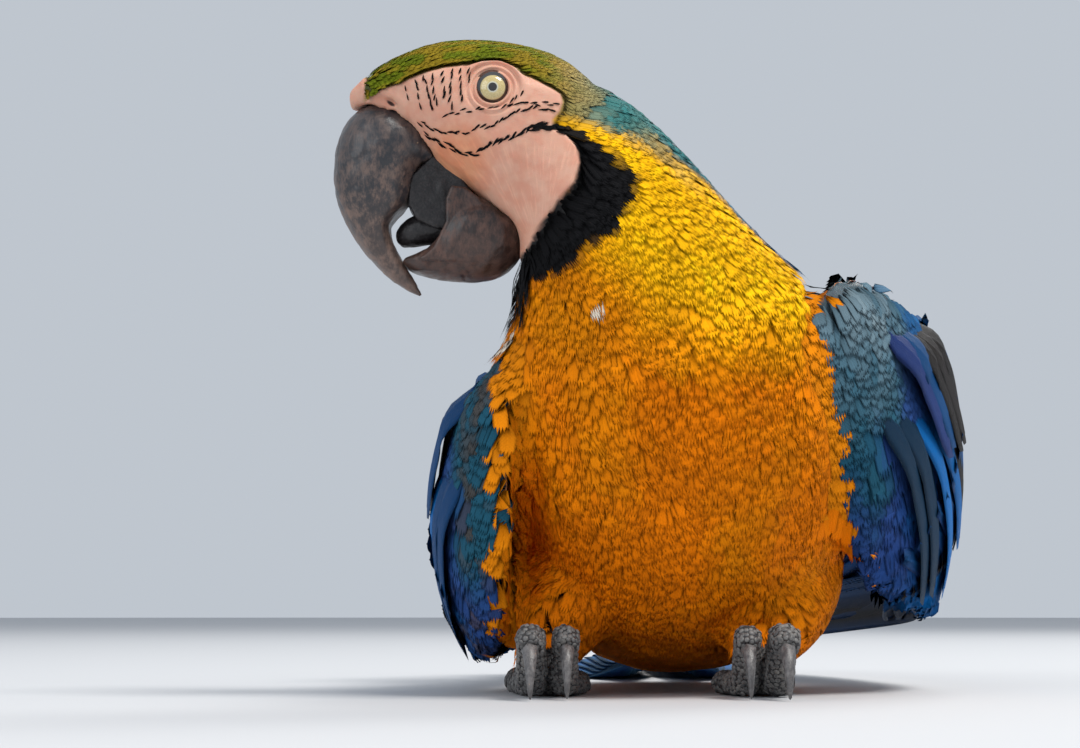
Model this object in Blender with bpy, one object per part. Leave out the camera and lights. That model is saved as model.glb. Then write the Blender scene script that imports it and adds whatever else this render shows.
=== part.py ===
"""Blue-and-yellow macaw, life size, crouched low with its head turned to its right.

Metres, +Z up. The breast faces -Y, the bird's left side is +X, the bill points to -X and the tail
lies back along +Y on the floor, which is the level z = 0. Trunk, neck, head, bill, wings, legs and
tail are lofts through rings, and neighbours are parted by cuts of one thin gap.
"""
import math

import bmesh
import bpy
import numpy as np
from mathutils import Vector

for old in list(bpy.data.objects):
    bpy.data.objects.remove(old, do_unlink=True)

GAP = 0.0003
SMOOTH_ANGLE = math.radians(50)

# ---------------------------------------------------------------- driving sizes
BODY_SIDES = 20
HEAD_SIDES = 20
BILL_SIDES = 12
LIMB_SIDES = 7
CLAW_SIDES = 5

HEAD_PLACE = Vector((-0.0755, -0.0150, 0.1774))
JAW_PIVOT = (0.0070, 0.0, 0.0)
EYE_RADIUS = 0.0078
EYE_ALONG = 0.0168
EYE_HEIGHT = 0.0309
EYE_OUT = 0.0195

FOOT_RIGHT = -0.0400
FOOT_LEFT = 0.0350
TAIL_LENGTH = 0.4600
TAIL_START = 0.1760
FEATHER_THICK = 0.0010

# Each station of the trunk, from the tail's root to the neck's top inside the head:
# the middle x, y, z, then the reach to the left, to the right, to the back and to the front.
TRUNK = np.array((
    (0.0110, 0.1750, 0.0125, 0.0210, 0.0210, 0.0085, 0.0085),
    (0.0110, 0.1370, 0.0270, 0.0370, 0.0370, 0.0240, 0.0220),
    (0.0110, 0.0960, 0.0440, 0.0520, 0.0520, 0.0410, 0.0400),
    (0.0110, 0.0550, 0.0650, 0.0620, 0.0610, 0.0550, 0.0580),
    (0.0085, 0.0180, 0.0910, 0.0645, 0.0600, 0.0540, 0.0615),
    (0.0015, -0.0050, 0.1210, 0.0595, 0.0570, 0.0490, 0.0525),
    (-0.0085, -0.0140, 0.1470, 0.0440, 0.0470, 0.0390, 0.0390),
    (-0.0190, -0.0165, 0.1680, 0.0350, 0.0360, 0.0320, 0.0310),
    (-0.0310, -0.0160, 0.1860, 0.0300, 0.0300, 0.0280, 0.0275),
    (-0.0430, -0.0150, 0.1980, 0.0240, 0.0240, 0.0230, 0.0230),
))
RUMP_END = 1.5
BELLY_END = 3.6
BREAST_END = 5.9
BELLY_CLEAR = 0.0040

# Each station of the head, from its back to the tip of the cere, from HEAD_PLACE:
# along, aside, height, then the reach up, down, and to each side twice.
HEAD = np.array((
    (0.0600, 0.0, 0.0200, 0.0040, 0.0060, 0.0070, 0.0070),
    (0.0511, 0.0, 0.0216, 0.0163, 0.0209, 0.0190, 0.0190),
    (0.0393, 0.0, 0.0222, 0.0247, 0.0335, 0.0248, 0.0248),
    (0.0261, 0.0, 0.0226, 0.0285, 0.0410, 0.0272, 0.0272),
    (0.0122, 0.0, 0.0226, 0.0304, 0.0262, 0.0262, 0.0262),
    (-0.0017, 0.0, 0.0290, 0.0232, 0.0228, 0.0228, 0.0228),
    (-0.0139, 0.0, 0.0348, 0.0136, 0.0160, 0.0178, 0.0178),
    (-0.0255, 0.0, 0.0350, 0.0072, 0.0085, 0.0125, 0.0125),
    (-0.0338, 0.0, 0.0322, 0.0025, 0.0030, 0.0050, 0.0050),
))
CERE_START = 6.0

# Upper bill, swept round HEAD_PLACE: angle, outer radius, inner radius, half width.
UPPER_BILL = np.array((
    (110, 0.0290, 0.0080, 0.0110),
    (125, 0.0385, 0.0100, 0.0150),
    (140, 0.0436, 0.0113, 0.0170),
    (155, 0.0426, 0.0108, 0.0170),
    (170, 0.0410, 0.0108, 0.0162),
    (185, 0.0394, 0.0111, 0.0150),
    (197, 0.0380, 0.0124, 0.0136),
    (206, 0.0371, 0.0165, 0.0122),
    (212, 0.0367, 0.0236, 0.0111),
    (227, 0.0367, 0.0270, 0.0084),
    (242, 0.0378, 0.0305, 0.0052),
    (251, 0.0385, 0.0343, 0.0030),
    (257, 0.0389, 0.0380, 0.0009),
))

# Lower bill, swept round JAW_PIVOT: angle, outer radius, inner radius, half width.
LOWER_BILL = np.array((
    (-36, 0.0270, 0.0030, 0.0130),
    (-52, 0.0318, 0.0030, 0.0152),
    (-68, 0.0338, 0.0030, 0.0160),
    (-84, 0.0334, 0.0030, 0.0158),
    (-99, 0.0331, 0.0032, 0.0150),
    (-109, 0.0337, 0.0060, 0.0140),
    (-115, 0.0342, 0.0150, 0.0128),
    (-119, 0.0345, 0.0225, 0.0116),
    (-125, 0.0349, 0.0275, 0.0092),
    (-130, 0.0351, 0.0315, 0.0060),
))
# The hollow of the lower bill that holds the tongue, in the same terms.
TROUGH = np.array((
    (-70, 0.0240, 0.0010, 0.0095),
    (-90, 0.0270, 0.0008, 0.0108),
    (-110, 0.0280, 0.0008, 0.0108),
    (-125, 0.0290, 0.0008, 0.0085),
    (-138, 0.0300, 0.0008, 0.0060),
))

# Tongue, from its root to its blunt tip, from HEAD_PLACE.
TONGUE = np.array((
    (0.0080, 0.0, -0.0150, 0.0050, 0.0050, 0.0060, 0.0060),
    (0.0000, 0.0, -0.0138, 0.0062, 0.0058, 0.0070, 0.0070),
    (-0.0080, 0.0, -0.0142, 0.0064, 0.0058, 0.0072, 0.0072),
    (-0.0138, 0.0, -0.0170, 0.0052, 0.0046, 0.0062, 0.0062),
    (-0.0162, 0.0, -0.0195, 0.0018, 0.0016, 0.0024, 0.0024),
))

# Each wing's arm with its small coverts, from the leading edge back to the flight feathers:
# y, middle height, half height, distance from the middle plane, half thickness, outward bow,
# and how far the upper edge leans in over the back.
ARM_RIGHT = np.array((
    (-0.0300, 0.0960, 0.0140, 0.0540, 0.0030, 0.0000, 0.0000),
    (-0.0220, 0.0850, 0.0330, 0.0555, 0.0070, 0.0020, 0.0000),
    (-0.0040, 0.0730, 0.0500, 0.0575, 0.0115, 0.0050, 0.0000),
    (0.0250, 0.0665, 0.0560, 0.0600, 0.0135, 0.0085, 0.0040),
    (0.0600, 0.0680, 0.0600, 0.0600, 0.0120, 0.0120, 0.0140),
    (0.1000, 0.0660, 0.0540, 0.0570, 0.0090, 0.0120, 0.0240),
    (0.1350, 0.0600, 0.0440, 0.0500, 0.0060, 0.0100, 0.0270),
    (0.1650, 0.0540, 0.0350, 0.0440, 0.0040, 0.0080, 0.0260),
))
ARM_LEFT = np.array((
    (-0.0300, 0.1260, 0.0160, 0.0560, 0.0040, 0.0000, 0.0000),
    (-0.0200, 0.1120, 0.0370, 0.0600, 0.0080, 0.0020, 0.0000),
    (0.0000, 0.0985, 0.0530, 0.0700, 0.0110, 0.0040, 0.0000),
    (0.0300, 0.0910, 0.0580, 0.0850, 0.0120, 0.0060, 0.0000),
    (0.0650, 0.0860, 0.0570, 0.1000, 0.0105, 0.0070, 0.0010),
    (0.1050, 0.0790, 0.0520, 0.1080, 0.0080, 0.0080, 0.0060),
    (0.1400, 0.0710, 0.0460, 0.1060, 0.0060, 0.0070, 0.0160),
    (0.1700, 0.0620, 0.0390, 0.1010, 0.0040, 0.0070, 0.0260),
))

# The flight feathers of each wing, behind its arm: lower edge and upper edge as points
# (out, y, z) from root to tip, the count of feathers, and the reach of the lowest and highest.
FLIGHT = {
    "right": {
        "primaries": (((0.0445, 0.1653, 0.020), (0.0380, 0.225, 0.019), (0.0300, 0.285, 0.018),
                       (0.0200, 0.355, 0.018)),
                      ((0.0385, 0.1653, 0.056), (0.0285, 0.225, 0.049), (0.0220, 0.285, 0.038),
                       (0.0160, 0.355, 0.026)), 6, (1.00, 0.72)),
        "secondaries": (((0.0505, 0.1653, 0.036), (0.0440, 0.205, 0.034), (0.0370, 0.250, 0.031),
                         (0.0310, 0.290, 0.029)),
                        ((0.0365, 0.1653, 0.072), (0.0310, 0.205, 0.062), (0.0265, 0.250, 0.050),
                         (0.0230, 0.290, 0.040)), 5, (0.98, 0.75)),
        "tertials": (((0.0385, 0.1653, 0.0752), (0.0330, 0.205, 0.065), (0.0280, 0.245, 0.054),
                      (0.0250, 0.275, 0.047)),
                     ((0.0180, 0.1653, 0.089), (0.0150, 0.205, 0.076), (0.0120, 0.245, 0.062),
                      (0.0100, 0.275, 0.052)), 3, (0.97, 0.80)),
    },
    "left": {
        "primaries": (((0.1010, 0.1703, 0.024), (0.0940, 0.230, 0.021), (0.0810, 0.295, 0.018),
                       (0.0630, 0.365, 0.018)),
                      ((0.0960, 0.1703, 0.061), (0.0830, 0.230, 0.053), (0.0690, 0.295, 0.040),
                       (0.0580, 0.365, 0.027)), 6, (1.00, 0.72)),
        "secondaries": (((0.1080, 0.1703, 0.038), (0.1030, 0.210, 0.035), (0.0935, 0.255, 0.032),
                         (0.0840, 0.295, 0.030)),
                        ((0.0940, 0.1703, 0.079), (0.0850, 0.210, 0.068), (0.0760, 0.255, 0.054),
                         (0.0690, 0.295, 0.043)), 5, (0.98, 0.75)),
        "tertials": (((0.0960, 0.1703, 0.0825), (0.0868, 0.210, 0.0715), (0.0775, 0.255, 0.0575),
                      (0.0710, 0.285, 0.0495)),
                     ((0.0730, 0.1703, 0.1000), (0.0610, 0.210, 0.085), (0.0530, 0.255, 0.067),
                      (0.0480, 0.285, 0.057)), 4, (0.97, 0.80)),
    },
}
PLATE_THICK = 0.0016
PLATE_STEP = 0.0009
PLATE_ROWS = 3
TIP_ROUND = 0.045
ARM_SIDES = 14
ARM_STEPS = 11
SHOULDER_SIDES = 12


# ---------------------------------------------------------------- materials
def finish(name, colour, roughness, metallic=0.0):
    """A plain finish: one colour, one roughness."""
    material = bpy.data.materials.new(name)
    material.use_nodes = True
    shader = material.node_tree.nodes["Principled BSDF"]
    shader.inputs["Base Color"].default_value = (*colour, 1.0)
    shader.inputs["Roughness"].default_value = roughness
    shader.inputs["Metallic"].default_value = metallic
    return material


YELLOW_DOWN = finish("yellow breast", (0.85, 0.42, 0.02), 0.7)
BARE_SKIN = finish("bare pink skin", (0.72, 0.48, 0.42), 0.55)
BLACK_HORN = finish("black horn", (0.035, 0.028, 0.026), 0.35)
BLACK_TONGUE = finish("black tongue", (0.02, 0.018, 0.018), 0.4)
IRIS_YELLOW = finish("pale yellow iris", (0.75, 0.68, 0.35), 0.1)
BLUE_VANE = finish("blue vane", (0.02, 0.12, 0.34), 0.45)
GREY_SCALE = finish("grey scaled skin", (0.22, 0.21, 0.21), 0.6)


# ---------------------------------------------------------------- tools for shapes
def read_stations(stations, place):
    """The station at a place between whole numbers, on a smooth curve through all of them."""
    last = len(stations) - 1
    index = min(int(place), last - 1)
    part = place - index
    before = stations[max(index - 1, 0)]
    here = stations[index]
    ahead = stations[index + 1]
    beyond = stations[min(index + 2, last)]
    bend = 2 * before - 5 * here + 4 * ahead - beyond
    twist = 3 * (here - ahead) + beyond - before
    return here + 0.5 * part * (ahead - before + part * (bend + part * twist))


def ring(middle, axis_a, axis_b, reach, powers=(2.0, 2.0), sides=24):
    """A rounded outline: its reach is given for +a, -a, +b, -b, its squareness for +a and -a."""
    points = []
    for step in range(sides):
        turn = math.tau * step / sides
        c, s = math.cos(turn), math.sin(turn)
        power = powers[0] if c >= 0 else powers[1]
        spread = (abs(c) ** power + abs(s) ** power) ** (-1.0 / power)
        along_a = c * spread * (reach[0] if c >= 0 else reach[1])
        along_b = s * spread * (reach[2] if s >= 0 else reach[3])
        points.append(Vector(middle) + axis_a * along_a + axis_b * along_b)
    return points


def tube_rings(stations, places, sides, grow=0.0, powers=(2.2, 2.2), heading=None):
    """Rings along a bent tube, square to its run or to one fixed heading.

    Grow makes the tube thicker and longer all round.
    """
    rings = []
    for step, place in enumerate(places):
        station = read_stations(stations, place)
        nearby = 0.02
        low = read_stations(stations, max(place - nearby, 0.0))
        high = read_stations(stations, min(place + nearby, len(stations) - 1))
        run = heading or Vector(high[:3] - low[:3]).normalized()
        across = Vector((run.z, 0.0, -run.x)).normalized()
        back = run.cross(across)
        ends = {0: -grow, len(places) - 1: grow}
        middle = Vector(station[:3]) + run * ends.get(step, 0.0)
        rings.append(ring(middle, across, back, [size + grow for size in station[3:7]],
                          powers, sides))
    return rings


def sweep_rings(stations, pivot, count, sides, grow=0.0, powers=(2.0, 3.2)):
    """Rings round a pivot in the plane of X and Z: a horn that curls, thick between two radii."""
    rings = []
    last = len(stations) - 1
    for step in range(count + 1):
        angle, outer, inner, half_width = read_stations(stations, last * step / count)
        turn = math.radians(angle)
        radial = Vector((math.cos(turn), 0.0, math.sin(turn)))
        middle = Vector(pivot) + radial * (outer + inner) / 2
        half_height = (outer - inner) / 2 + grow
        reach = (half_height, half_height, half_width + grow, half_width + grow)
        rings.append(ring(middle, radial, Vector((0.0, 1.0, 0.0)), reach, powers, sides))
    return rings


def on_floor(rings):
    """The rings with all that would reach under the floor pressed flat onto it."""
    return [[Vector((p.x, p.y, max(p.z, 0.0))) for p in one] for one in rings]


def make_solid(name, vertices, faces, material, parent):
    """One closed body with its faces turned outward, shaded smooth, as a named object."""
    mesh = bpy.data.meshes.new(name)
    mesh.from_pydata([tuple(v) for v in vertices], [], faces)
    shape = bmesh.new()
    shape.from_mesh(mesh)
    bmesh.ops.remove_doubles(shape, verts=shape.verts, dist=1e-6)
    bmesh.ops.dissolve_degenerate(shape, edges=shape.edges, dist=1e-7)
    bmesh.ops.recalc_face_normals(shape, faces=shape.faces)
    shape.to_mesh(mesh)
    shape.free()
    mesh.shade_smooth()
    mesh.set_sharp_from_angle(angle=SMOOTH_ANGLE)
    mesh.materials.append(material)
    piece = bpy.data.objects.new(name, mesh)
    bpy.context.scene.collection.objects.link(piece)
    piece.parent = parent
    return piece


def loft(name, rings, material, parent):
    """A closed body through rings of equal count, with a flat face on each end.

    Its sides are split into triangles the same way in every body, so that a guide made from the
    same rings fits its body exactly.
    """
    sides = len(rings[0])
    vertices = [point for one in rings for point in one]
    faces = []
    for row in range(len(rings) - 1):
        for side in range(sides):
            after = (side + 1) % sides
            here, above = row * sides, (row + 1) * sides
            faces.append((here + side, here + after, above + after))
            faces.append((here + side, above + after, above + side))
    faces.append(tuple(reversed(range(sides))))
    faces.append(tuple((len(rings) - 1) * sides + side for side in range(sides)))
    return make_solid(name, vertices, faces, material, parent)


def as_cutter(piece):
    """Marks a body as a guide that only shapes its neighbours."""
    piece.hide_render = True
    piece.display_type = "WIRE"
    return piece


def shape_with(piece, other, operation="DIFFERENCE", solver="EXACT"):
    """Cuts one body by another, or joins them."""
    change = piece.modifiers.new(f"{operation.lower()} {other.name}", "BOOLEAN")
    change.operation = operation
    change.object = other
    change.solver = solver


bird = bpy.data.objects.new("bird_place", None)
bpy.context.scene.collection.objects.link(bird)
head_place = bpy.data.objects.new("head_place", None)
bpy.context.scene.collection.objects.link(head_place)
head_place.parent = bird
head_place.location = HEAD_PLACE


# ---------------------------------------------------------------- trunk and neck
def steps_between(first, last, count):
    """Places from first to last, evenly spaced."""
    return [first + (last - first) * step / count for step in range(count + 1)]


def shortened(places, cut):
    """The same places with both ends drawn in by half a gap."""
    return [places[0] + cut, *places[1:-1], places[-1] - cut]


def trunk_loft(name, places, material, grow=0.0):
    """A length of the trunk or neck, held clear of the floor."""
    rings = tube_rings(TRUNK, places, BODY_SIDES, grow)
    clear = [[Vector((p.x, p.y, max(p.z, BELLY_CLEAR - grow))) for p in one] for one in rings]
    return loft(name, clear, material, bird)


# Half a gap, told in places along the stations, which lie about this far apart.
TRUNK_STATION_RUN = 0.030
TRUNK_CUT = 0.5 * GAP / TRUNK_STATION_RUN
RUMP_PLACES = steps_between(0.0, RUMP_END, 4)
BELLY_PLACES = steps_between(RUMP_END, BELLY_END, 6)
BREAST_PLACES = steps_between(BELLY_END, BREAST_END, 7)
NECK_PLACES = steps_between(BREAST_END, len(TRUNK) - 1.2, 7)
rump = trunk_loft("rump", shortened(RUMP_PLACES, TRUNK_CUT), YELLOW_DOWN)
belly = trunk_loft("belly", shortened(BELLY_PLACES, TRUNK_CUT), YELLOW_DOWN)
breast = trunk_loft("breast", shortened(BREAST_PLACES, TRUNK_CUT), YELLOW_DOWN)
neck = trunk_loft("neck", shortened(NECK_PLACES, TRUNK_CUT), YELLOW_DOWN)
trunk_guide = as_cutter(trunk_loft(
    "trunk_guide", RUMP_PLACES + BELLY_PLACES[1:] + BREAST_PLACES[1:] + NECK_PLACES[1:4],
    YELLOW_DOWN, GAP))


# ---------------------------------------------------------------- head, bill, tongue and eyes
def head_loft(name, places, material, grow=0.0):
    """A length of the head."""
    rings = tube_rings(HEAD, places, HEAD_SIDES, grow, (2.1, 2.25), Vector((-1.0, 0.0, 0.0)))
    return loft(name, rings, material, head_place)


HEAD_STATION_RUN = 0.012
HEAD_CUT = 0.5 * GAP / HEAD_STATION_RUN
HEAD_PLACES = steps_between(0.0, CERE_START, 11)
CERE_PLACES = steps_between(CERE_START, len(HEAD) - 1, 5)
head = head_loft("head", shortened(HEAD_PLACES, HEAD_CUT), BARE_SKIN)
cere = head_loft("cere", shortened(CERE_PLACES, HEAD_CUT), BARE_SKIN)
head_guide = as_cutter(
    head_loft("head_guide", HEAD_PLACES + CERE_PLACES[1:], BARE_SKIN, GAP))
shape_with(neck, head_guide)


def bill_part(name, stations, pivot, count, material, grow=0.0, powers=(2.0, 3.2)):
    """A curled horn of the bill."""
    rings = sweep_rings(stations, pivot, count, BILL_SIDES, grow, powers)
    return loft(name, rings, material, head_place)


UPPER_STEPS = 15
LOWER_STEPS = 11
TROUGH_STEPS = 6
upper_bill = bill_part("upper_bill", UPPER_BILL, (0, 0, 0), UPPER_STEPS, BLACK_HORN)
upper_guide = as_cutter(bill_part("upper_guide", UPPER_BILL, (0, 0, 0), UPPER_STEPS, BLACK_HORN, GAP))
lower_bill = bill_part("lower_bill", LOWER_BILL, JAW_PIVOT, LOWER_STEPS, BLACK_HORN, powers=(2.4, 3.0))
lower_guide = as_cutter(
    bill_part("lower_guide", LOWER_BILL, JAW_PIVOT, LOWER_STEPS, BLACK_HORN, GAP, (2.4, 3.0)))
trough = as_cutter(bill_part("trough", TROUGH, JAW_PIVOT, TROUGH_STEPS, BLACK_HORN, powers=(2.2, 3.0)))
TONGUE_SIDES = 10
TONGUE_PLACES = steps_between(0.0, len(TONGUE) - 1, 6)
tongue = loft("tongue", tube_rings(TONGUE, TONGUE_PLACES, TONGUE_SIDES), BLACK_TONGUE, head_place)
tongue_guide = as_cutter(
    loft("tongue_guide", tube_rings(TONGUE, TONGUE_PLACES, TONGUE_SIDES, GAP), BLACK_TONGUE, head_place))
shape_with(neck, lower_guide, solver="MANIFOLD")
shape_with(head, upper_guide)
shape_with(head, lower_guide)
shape_with(head, tongue_guide)
shape_with(cere, upper_guide)
shape_with(lower_bill, trough)
shape_with(lower_bill, tongue_guide)
shape_with(lower_bill, upper_guide)


def ball(name, place, radius, material):
    """A closed ball for an eye."""
    mesh = bpy.data.meshes.new(name)
    shape = bmesh.new()
    bmesh.ops.create_uvsphere(shape, u_segments=12, v_segments=8, radius=radius)
    bmesh.ops.rotate(shape, verts=shape.verts, cent=(0, 0, 0),
                     matrix=Vector((0, 0, 1)).rotation_difference(Vector((0, 1, 0))).to_matrix())
    bmesh.ops.translate(shape, verts=shape.verts, vec=place)
    shape.to_mesh(mesh)
    shape.free()
    mesh.shade_smooth()
    mesh.materials.append(material)
    piece = bpy.data.objects.new(name, mesh)
    bpy.context.scene.collection.objects.link(piece)
    piece.parent = head_place
    return piece


for side_name, side in (("left", -1.0), ("right", 1.0)):
    place = (EYE_ALONG, side * EYE_OUT, EYE_HEIGHT)
    ball(f"eye_{side_name}", place, EYE_RADIUS, IRIS_YELLOW)
    shape_with(head, as_cutter(ball(f"socket_{side_name}", place, EYE_RADIUS + GAP, BARE_SKIN)))


# ---------------------------------------------------------------- wings
def arm_rings(stations, side):
    """Rings of a folded wing's arm, tall and thin, bowed away from the body."""
    rings = []
    last = len(stations) - 1
    for step in range(ARM_STEPS + 1):
        station = read_stations(stations, last * step / ARM_STEPS)
        y, mid_z, half_z, out, half_thick, bow, lean = station
        flat = ring((0.0, y, mid_z), Vector((0.0, 0.0, 1.0)), Vector((1.0, 0.0, 0.0)),
                    (half_z, half_z, half_thick, half_thick), (2.3, 2.3), ARM_SIDES)
        bent = []
        for point in flat:
            rise = (point.z - mid_z) / half_z
            outward = out + point.x + bow * (1.0 - rise * rise) - lean * ((rise + 1.0) / 2.0) ** 2
            bent.append(Vector((side * outward, point.y, point.z)))
        rings.append(bent)
    return rings


def feather_plate(lower, upper, count, ends, side):
    """Vertices and faces of one row of lapped flight feathers, as one closed plate.

    Each feather is a strip with a high edge over its neighbour's low one, and a round tip.
    """
    lower, upper = np.array(lower), np.array(upper)
    strips = []
    for feather in range(count):
        for across in (0.02, 0.50, 0.98):
            strips.append((feather, across))
    top, bottom = [], []
    for feather, across in strips:
        level = (feather + across) / count
        reach = ends[0] + (ends[1] - ends[0]) * feather / max(count - 1, 1)
        reach -= TIP_ROUND * (2.0 * across - 1.0) ** 2
        lift = PLATE_STEP * (1.0 - across)
        for row in range(PLATE_ROWS + 1):
            place = (len(lower) - 1) * reach * row / PLATE_ROWS
            low, high = read_stations(lower, place), read_stations(upper, place)
            middle = Vector(low + (high - low) * level)
            run = Vector(read_stations(lower, place + 0.05) - low)
            outward = run.cross(Vector(high - low))
            outward = Vector((outward.x, 0.0, outward.z)).normalized()
            outer = middle + outward * (PLATE_THICK / 2 + lift)
            inner = middle - outward * (PLATE_THICK / 2)
            top.append(Vector((side * outer.x, outer.y, outer.z)))
            bottom.append(Vector((side * inner.x, inner.y, inner.z)))
    rows = PLATE_ROWS + 1
    columns = len(strips)
    offset = len(top)
    faces = []
    for column in range(columns - 1):
        for row in range(PLATE_ROWS):
            a = column * rows + row
            b = a + rows
            faces.append((a, a + 1, b + 1, b))
            faces.append((offset + a, offset + b, offset + b + 1, offset + a + 1))
    for column in range(columns - 1):
        for row in (0, rows - 1):
            a = column * rows + row
            faces.append((a, a + rows, offset + a + rows, offset + a))
    for column in (0, columns - 1):
        for row in range(PLATE_ROWS):
            a = column * rows + row
            faces.append((a, offset + a, offset + a + 1, a + 1))
    return top + bottom, faces


# The upper arm of each wing, from inside the trunk out to the arm: the middle x, y, z, then the
# half height twice and the half depth twice.
SHOULDERS = {
    "right": np.array(((-0.0250, 0.0500, 0.1000, 0.0150, 0.0150, 0.0320, 0.0320),
                       (-0.0430, 0.0520, 0.0940, 0.0150, 0.0150, 0.0320, 0.0320),
                       (-0.0600, 0.0550, 0.0860, 0.0120, 0.0120, 0.0260, 0.0260))),
    "left": np.array(((0.0300, 0.0450, 0.1050, 0.0160, 0.0160, 0.0360, 0.0360),
                      (0.0650, 0.0500, 0.1120, 0.0150, 0.0150, 0.0360, 0.0360),
                      (0.0870, 0.0580, 0.1080, 0.0100, 0.0100, 0.0260, 0.0260))),
}

SHOULDER_PLACES = steps_between(0.0, 2.0, 3)

for side_name, side, stations in (("right", -1.0, ARM_RIGHT), ("left", 1.0, ARM_LEFT)):
    arm = loft(f"wing_{side_name}_arm", arm_rings(stations, side), BLUE_VANE, bird)
    shoulder_rings = tube_rings(SHOULDERS[side_name], SHOULDER_PLACES, SHOULDER_SIDES)
    shoulder = as_cutter(loft(f"shoulder_{side_name}_guide", shoulder_rings, BLUE_VANE, bird))
    shape_with(arm, shoulder, "UNION")
    shape_with(arm, trunk_guide, solver="MANIFOLD")
    for row_name, (lower, upper, count, ends) in FLIGHT[side_name].items():
        vertices, faces = feather_plate(lower, upper, count, ends, side)
        make_solid(f"wing_{side_name}_{row_name}", vertices, faces, BLUE_VANE, bird)


# ---------------------------------------------------------------- legs
# Each toe: name, sideways start and end from the foot's middle, whether it points forward,
# its length and its radius.
TOES = (("front_inner", -0.0054, -0.0066, True, 0.0290, 0.0044),
        ("front_outer", 0.0054, 0.0058, True, 0.0350, 0.0048),
        ("back_inner", -0.0052, -0.0120, False, 0.0210, 0.0042),
        ("back_outer", 0.0052, 0.0110, False, 0.0330, 0.0046))
# The arch of a front toe: how far along it is, its height and its thickness there.
TOE_ARCH = ((0.12, 0.0034, 1.00), (0.36, 0.0105, 1.10), (0.60, 0.0195, 0.96),
            (0.82, 0.0215, 1.10), (1.00, 0.0172, 0.88))
TOE_PRESS = 0.93
CLAW_ROOT = 0.0010
CLAW_STEPS = 5
CLAW_TURN = math.radians(90)
CLAW_REACH_FRONT = 0.0105
CLAW_REACH_BACK = 0.0140
CLAW_THICK = 0.76
CLAW_TAPER = 0.80
CLAW_FULLNESS = 1.3
# Each thigh's top: its sideways place and its half width.
HIPS = {"right": (-0.0295, 0.0205), "left": (0.0450, 0.0240)}
THIGH_SIDES = 12
TARSUS_SIDES = 10
THIGH_PLACES = steps_between(0.0, 3.0, 5)
TARSUS_PLACES = steps_between(0.0, 2.0, 4)
TOE_PLACES = steps_between(0.0, 4.0, 5)
CLAW_PLACES = steps_between(0.0, 5.0, 4)


def toe_stations(foot_x, side, start, end, forward, length, radius):
    """The run of a toe from the foot's middle: arched in front, flat behind."""
    way = -1.0 if forward else 1.0
    rows = []
    for part, height, scale in TOE_ARCH:
        if not forward:
            height = radius * scale * TOE_PRESS
        aside = start + (end - start) * part
        size = radius * scale
        rows.append((foot_x + side * aside, way * length * part, height, size, size, size, size))
    return np.array(rows)


def claw_stations(toe_end, forward, radius):
    """The run of a claw from the end of its toe to the floor."""
    x, y, z = toe_end[:3]
    way = -1.0 if forward else 1.0
    length = CLAW_REACH_FRONT if forward else CLAW_REACH_BACK
    rows = []
    for step in range(CLAW_STEPS + 1):
        turn = CLAW_TURN * step / CLAW_STEPS
        ahead = length * math.sin(turn)
        drop = z * (1.0 - math.cos(turn))
        size = radius * CLAW_THICK * (1.0 - CLAW_TAPER * (step / CLAW_STEPS) ** CLAW_FULLNESS)
        rows.append((x, y + way * (ahead - CLAW_ROOT), z - drop, size, size, size, size))
    return np.array(rows)


for side_name, side in (("right", -1.0), ("left", 1.0)):
    foot_x = FOOT_RIGHT if side < 0 else FOOT_LEFT
    hip_x, wide = HIPS[side_name]
    thigh_run = np.array((
        (hip_x, 0.0520, 0.0620, wide, wide, 0.0270, 0.0270),
        (hip_x, 0.0340, 0.0450, wide, wide, 0.0280, 0.0270),
        ((hip_x + foot_x) / 2, 0.0180, 0.0290, wide * 0.84, wide * 0.84, 0.0230, 0.0210),
        (foot_x, 0.0080, 0.0165, 0.0110, 0.0110, 0.0130, 0.0130)))
    tarsus_run = np.array((
        (foot_x, -0.0016, 0.0042, 0.0080, 0.0080, 0.0078, 0.0078),
        (foot_x, 0.0060, 0.0150, 0.0062, 0.0062, 0.0060, 0.0060),
        (foot_x, 0.0110, 0.0215, 0.0058, 0.0058, 0.0056, 0.0056)))
    thigh = loft(f"thigh_{side_name}", tube_rings(thigh_run, THIGH_PLACES, THIGH_SIDES),
                 YELLOW_DOWN, bird)
    shape_with(thigh, trunk_guide)
    tarsus = loft(f"tarsus_{side_name}", on_floor(tube_rings(tarsus_run, TARSUS_PLACES, TARSUS_SIDES)),
                  GREY_SCALE, bird)
    tarsus_wide = tube_rings(tarsus_run, TARSUS_PLACES, TARSUS_SIDES, GAP)
    tarsus_guide = as_cutter(loft(f"tarsus_{side_name}_guide", tarsus_wide, GREY_SCALE, bird))
    shape_with(thigh, tarsus_guide)
    shape_with(tarsus, trunk_guide)
    for toe_name, start, end, forward, length, radius in TOES:
        run = toe_stations(foot_x, side, start, end, forward, length, radius)
        toe = loft(f"toe_{side_name}_{toe_name}", on_floor(tube_rings(run, TOE_PLACES, LIMB_SIDES)),
                   GREY_SCALE, bird)
        toe_guide = as_cutter(loft(f"toe_{side_name}_{toe_name}_guide",
                                   tube_rings(run, TOE_PLACES, LIMB_SIDES, GAP), GREY_SCALE, bird))
        shape_with(toe, tarsus_guide)
        if not forward:
            shape_with(thigh, toe_guide)
        claw_run = claw_stations(run[-1], forward, radius)
        claw = loft(f"claw_{side_name}_{toe_name}",
                    on_floor(tube_rings(claw_run, CLAW_PLACES, CLAW_SIDES)), BLACK_HORN, bird)
        shape_with(claw, toe_guide)


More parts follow.
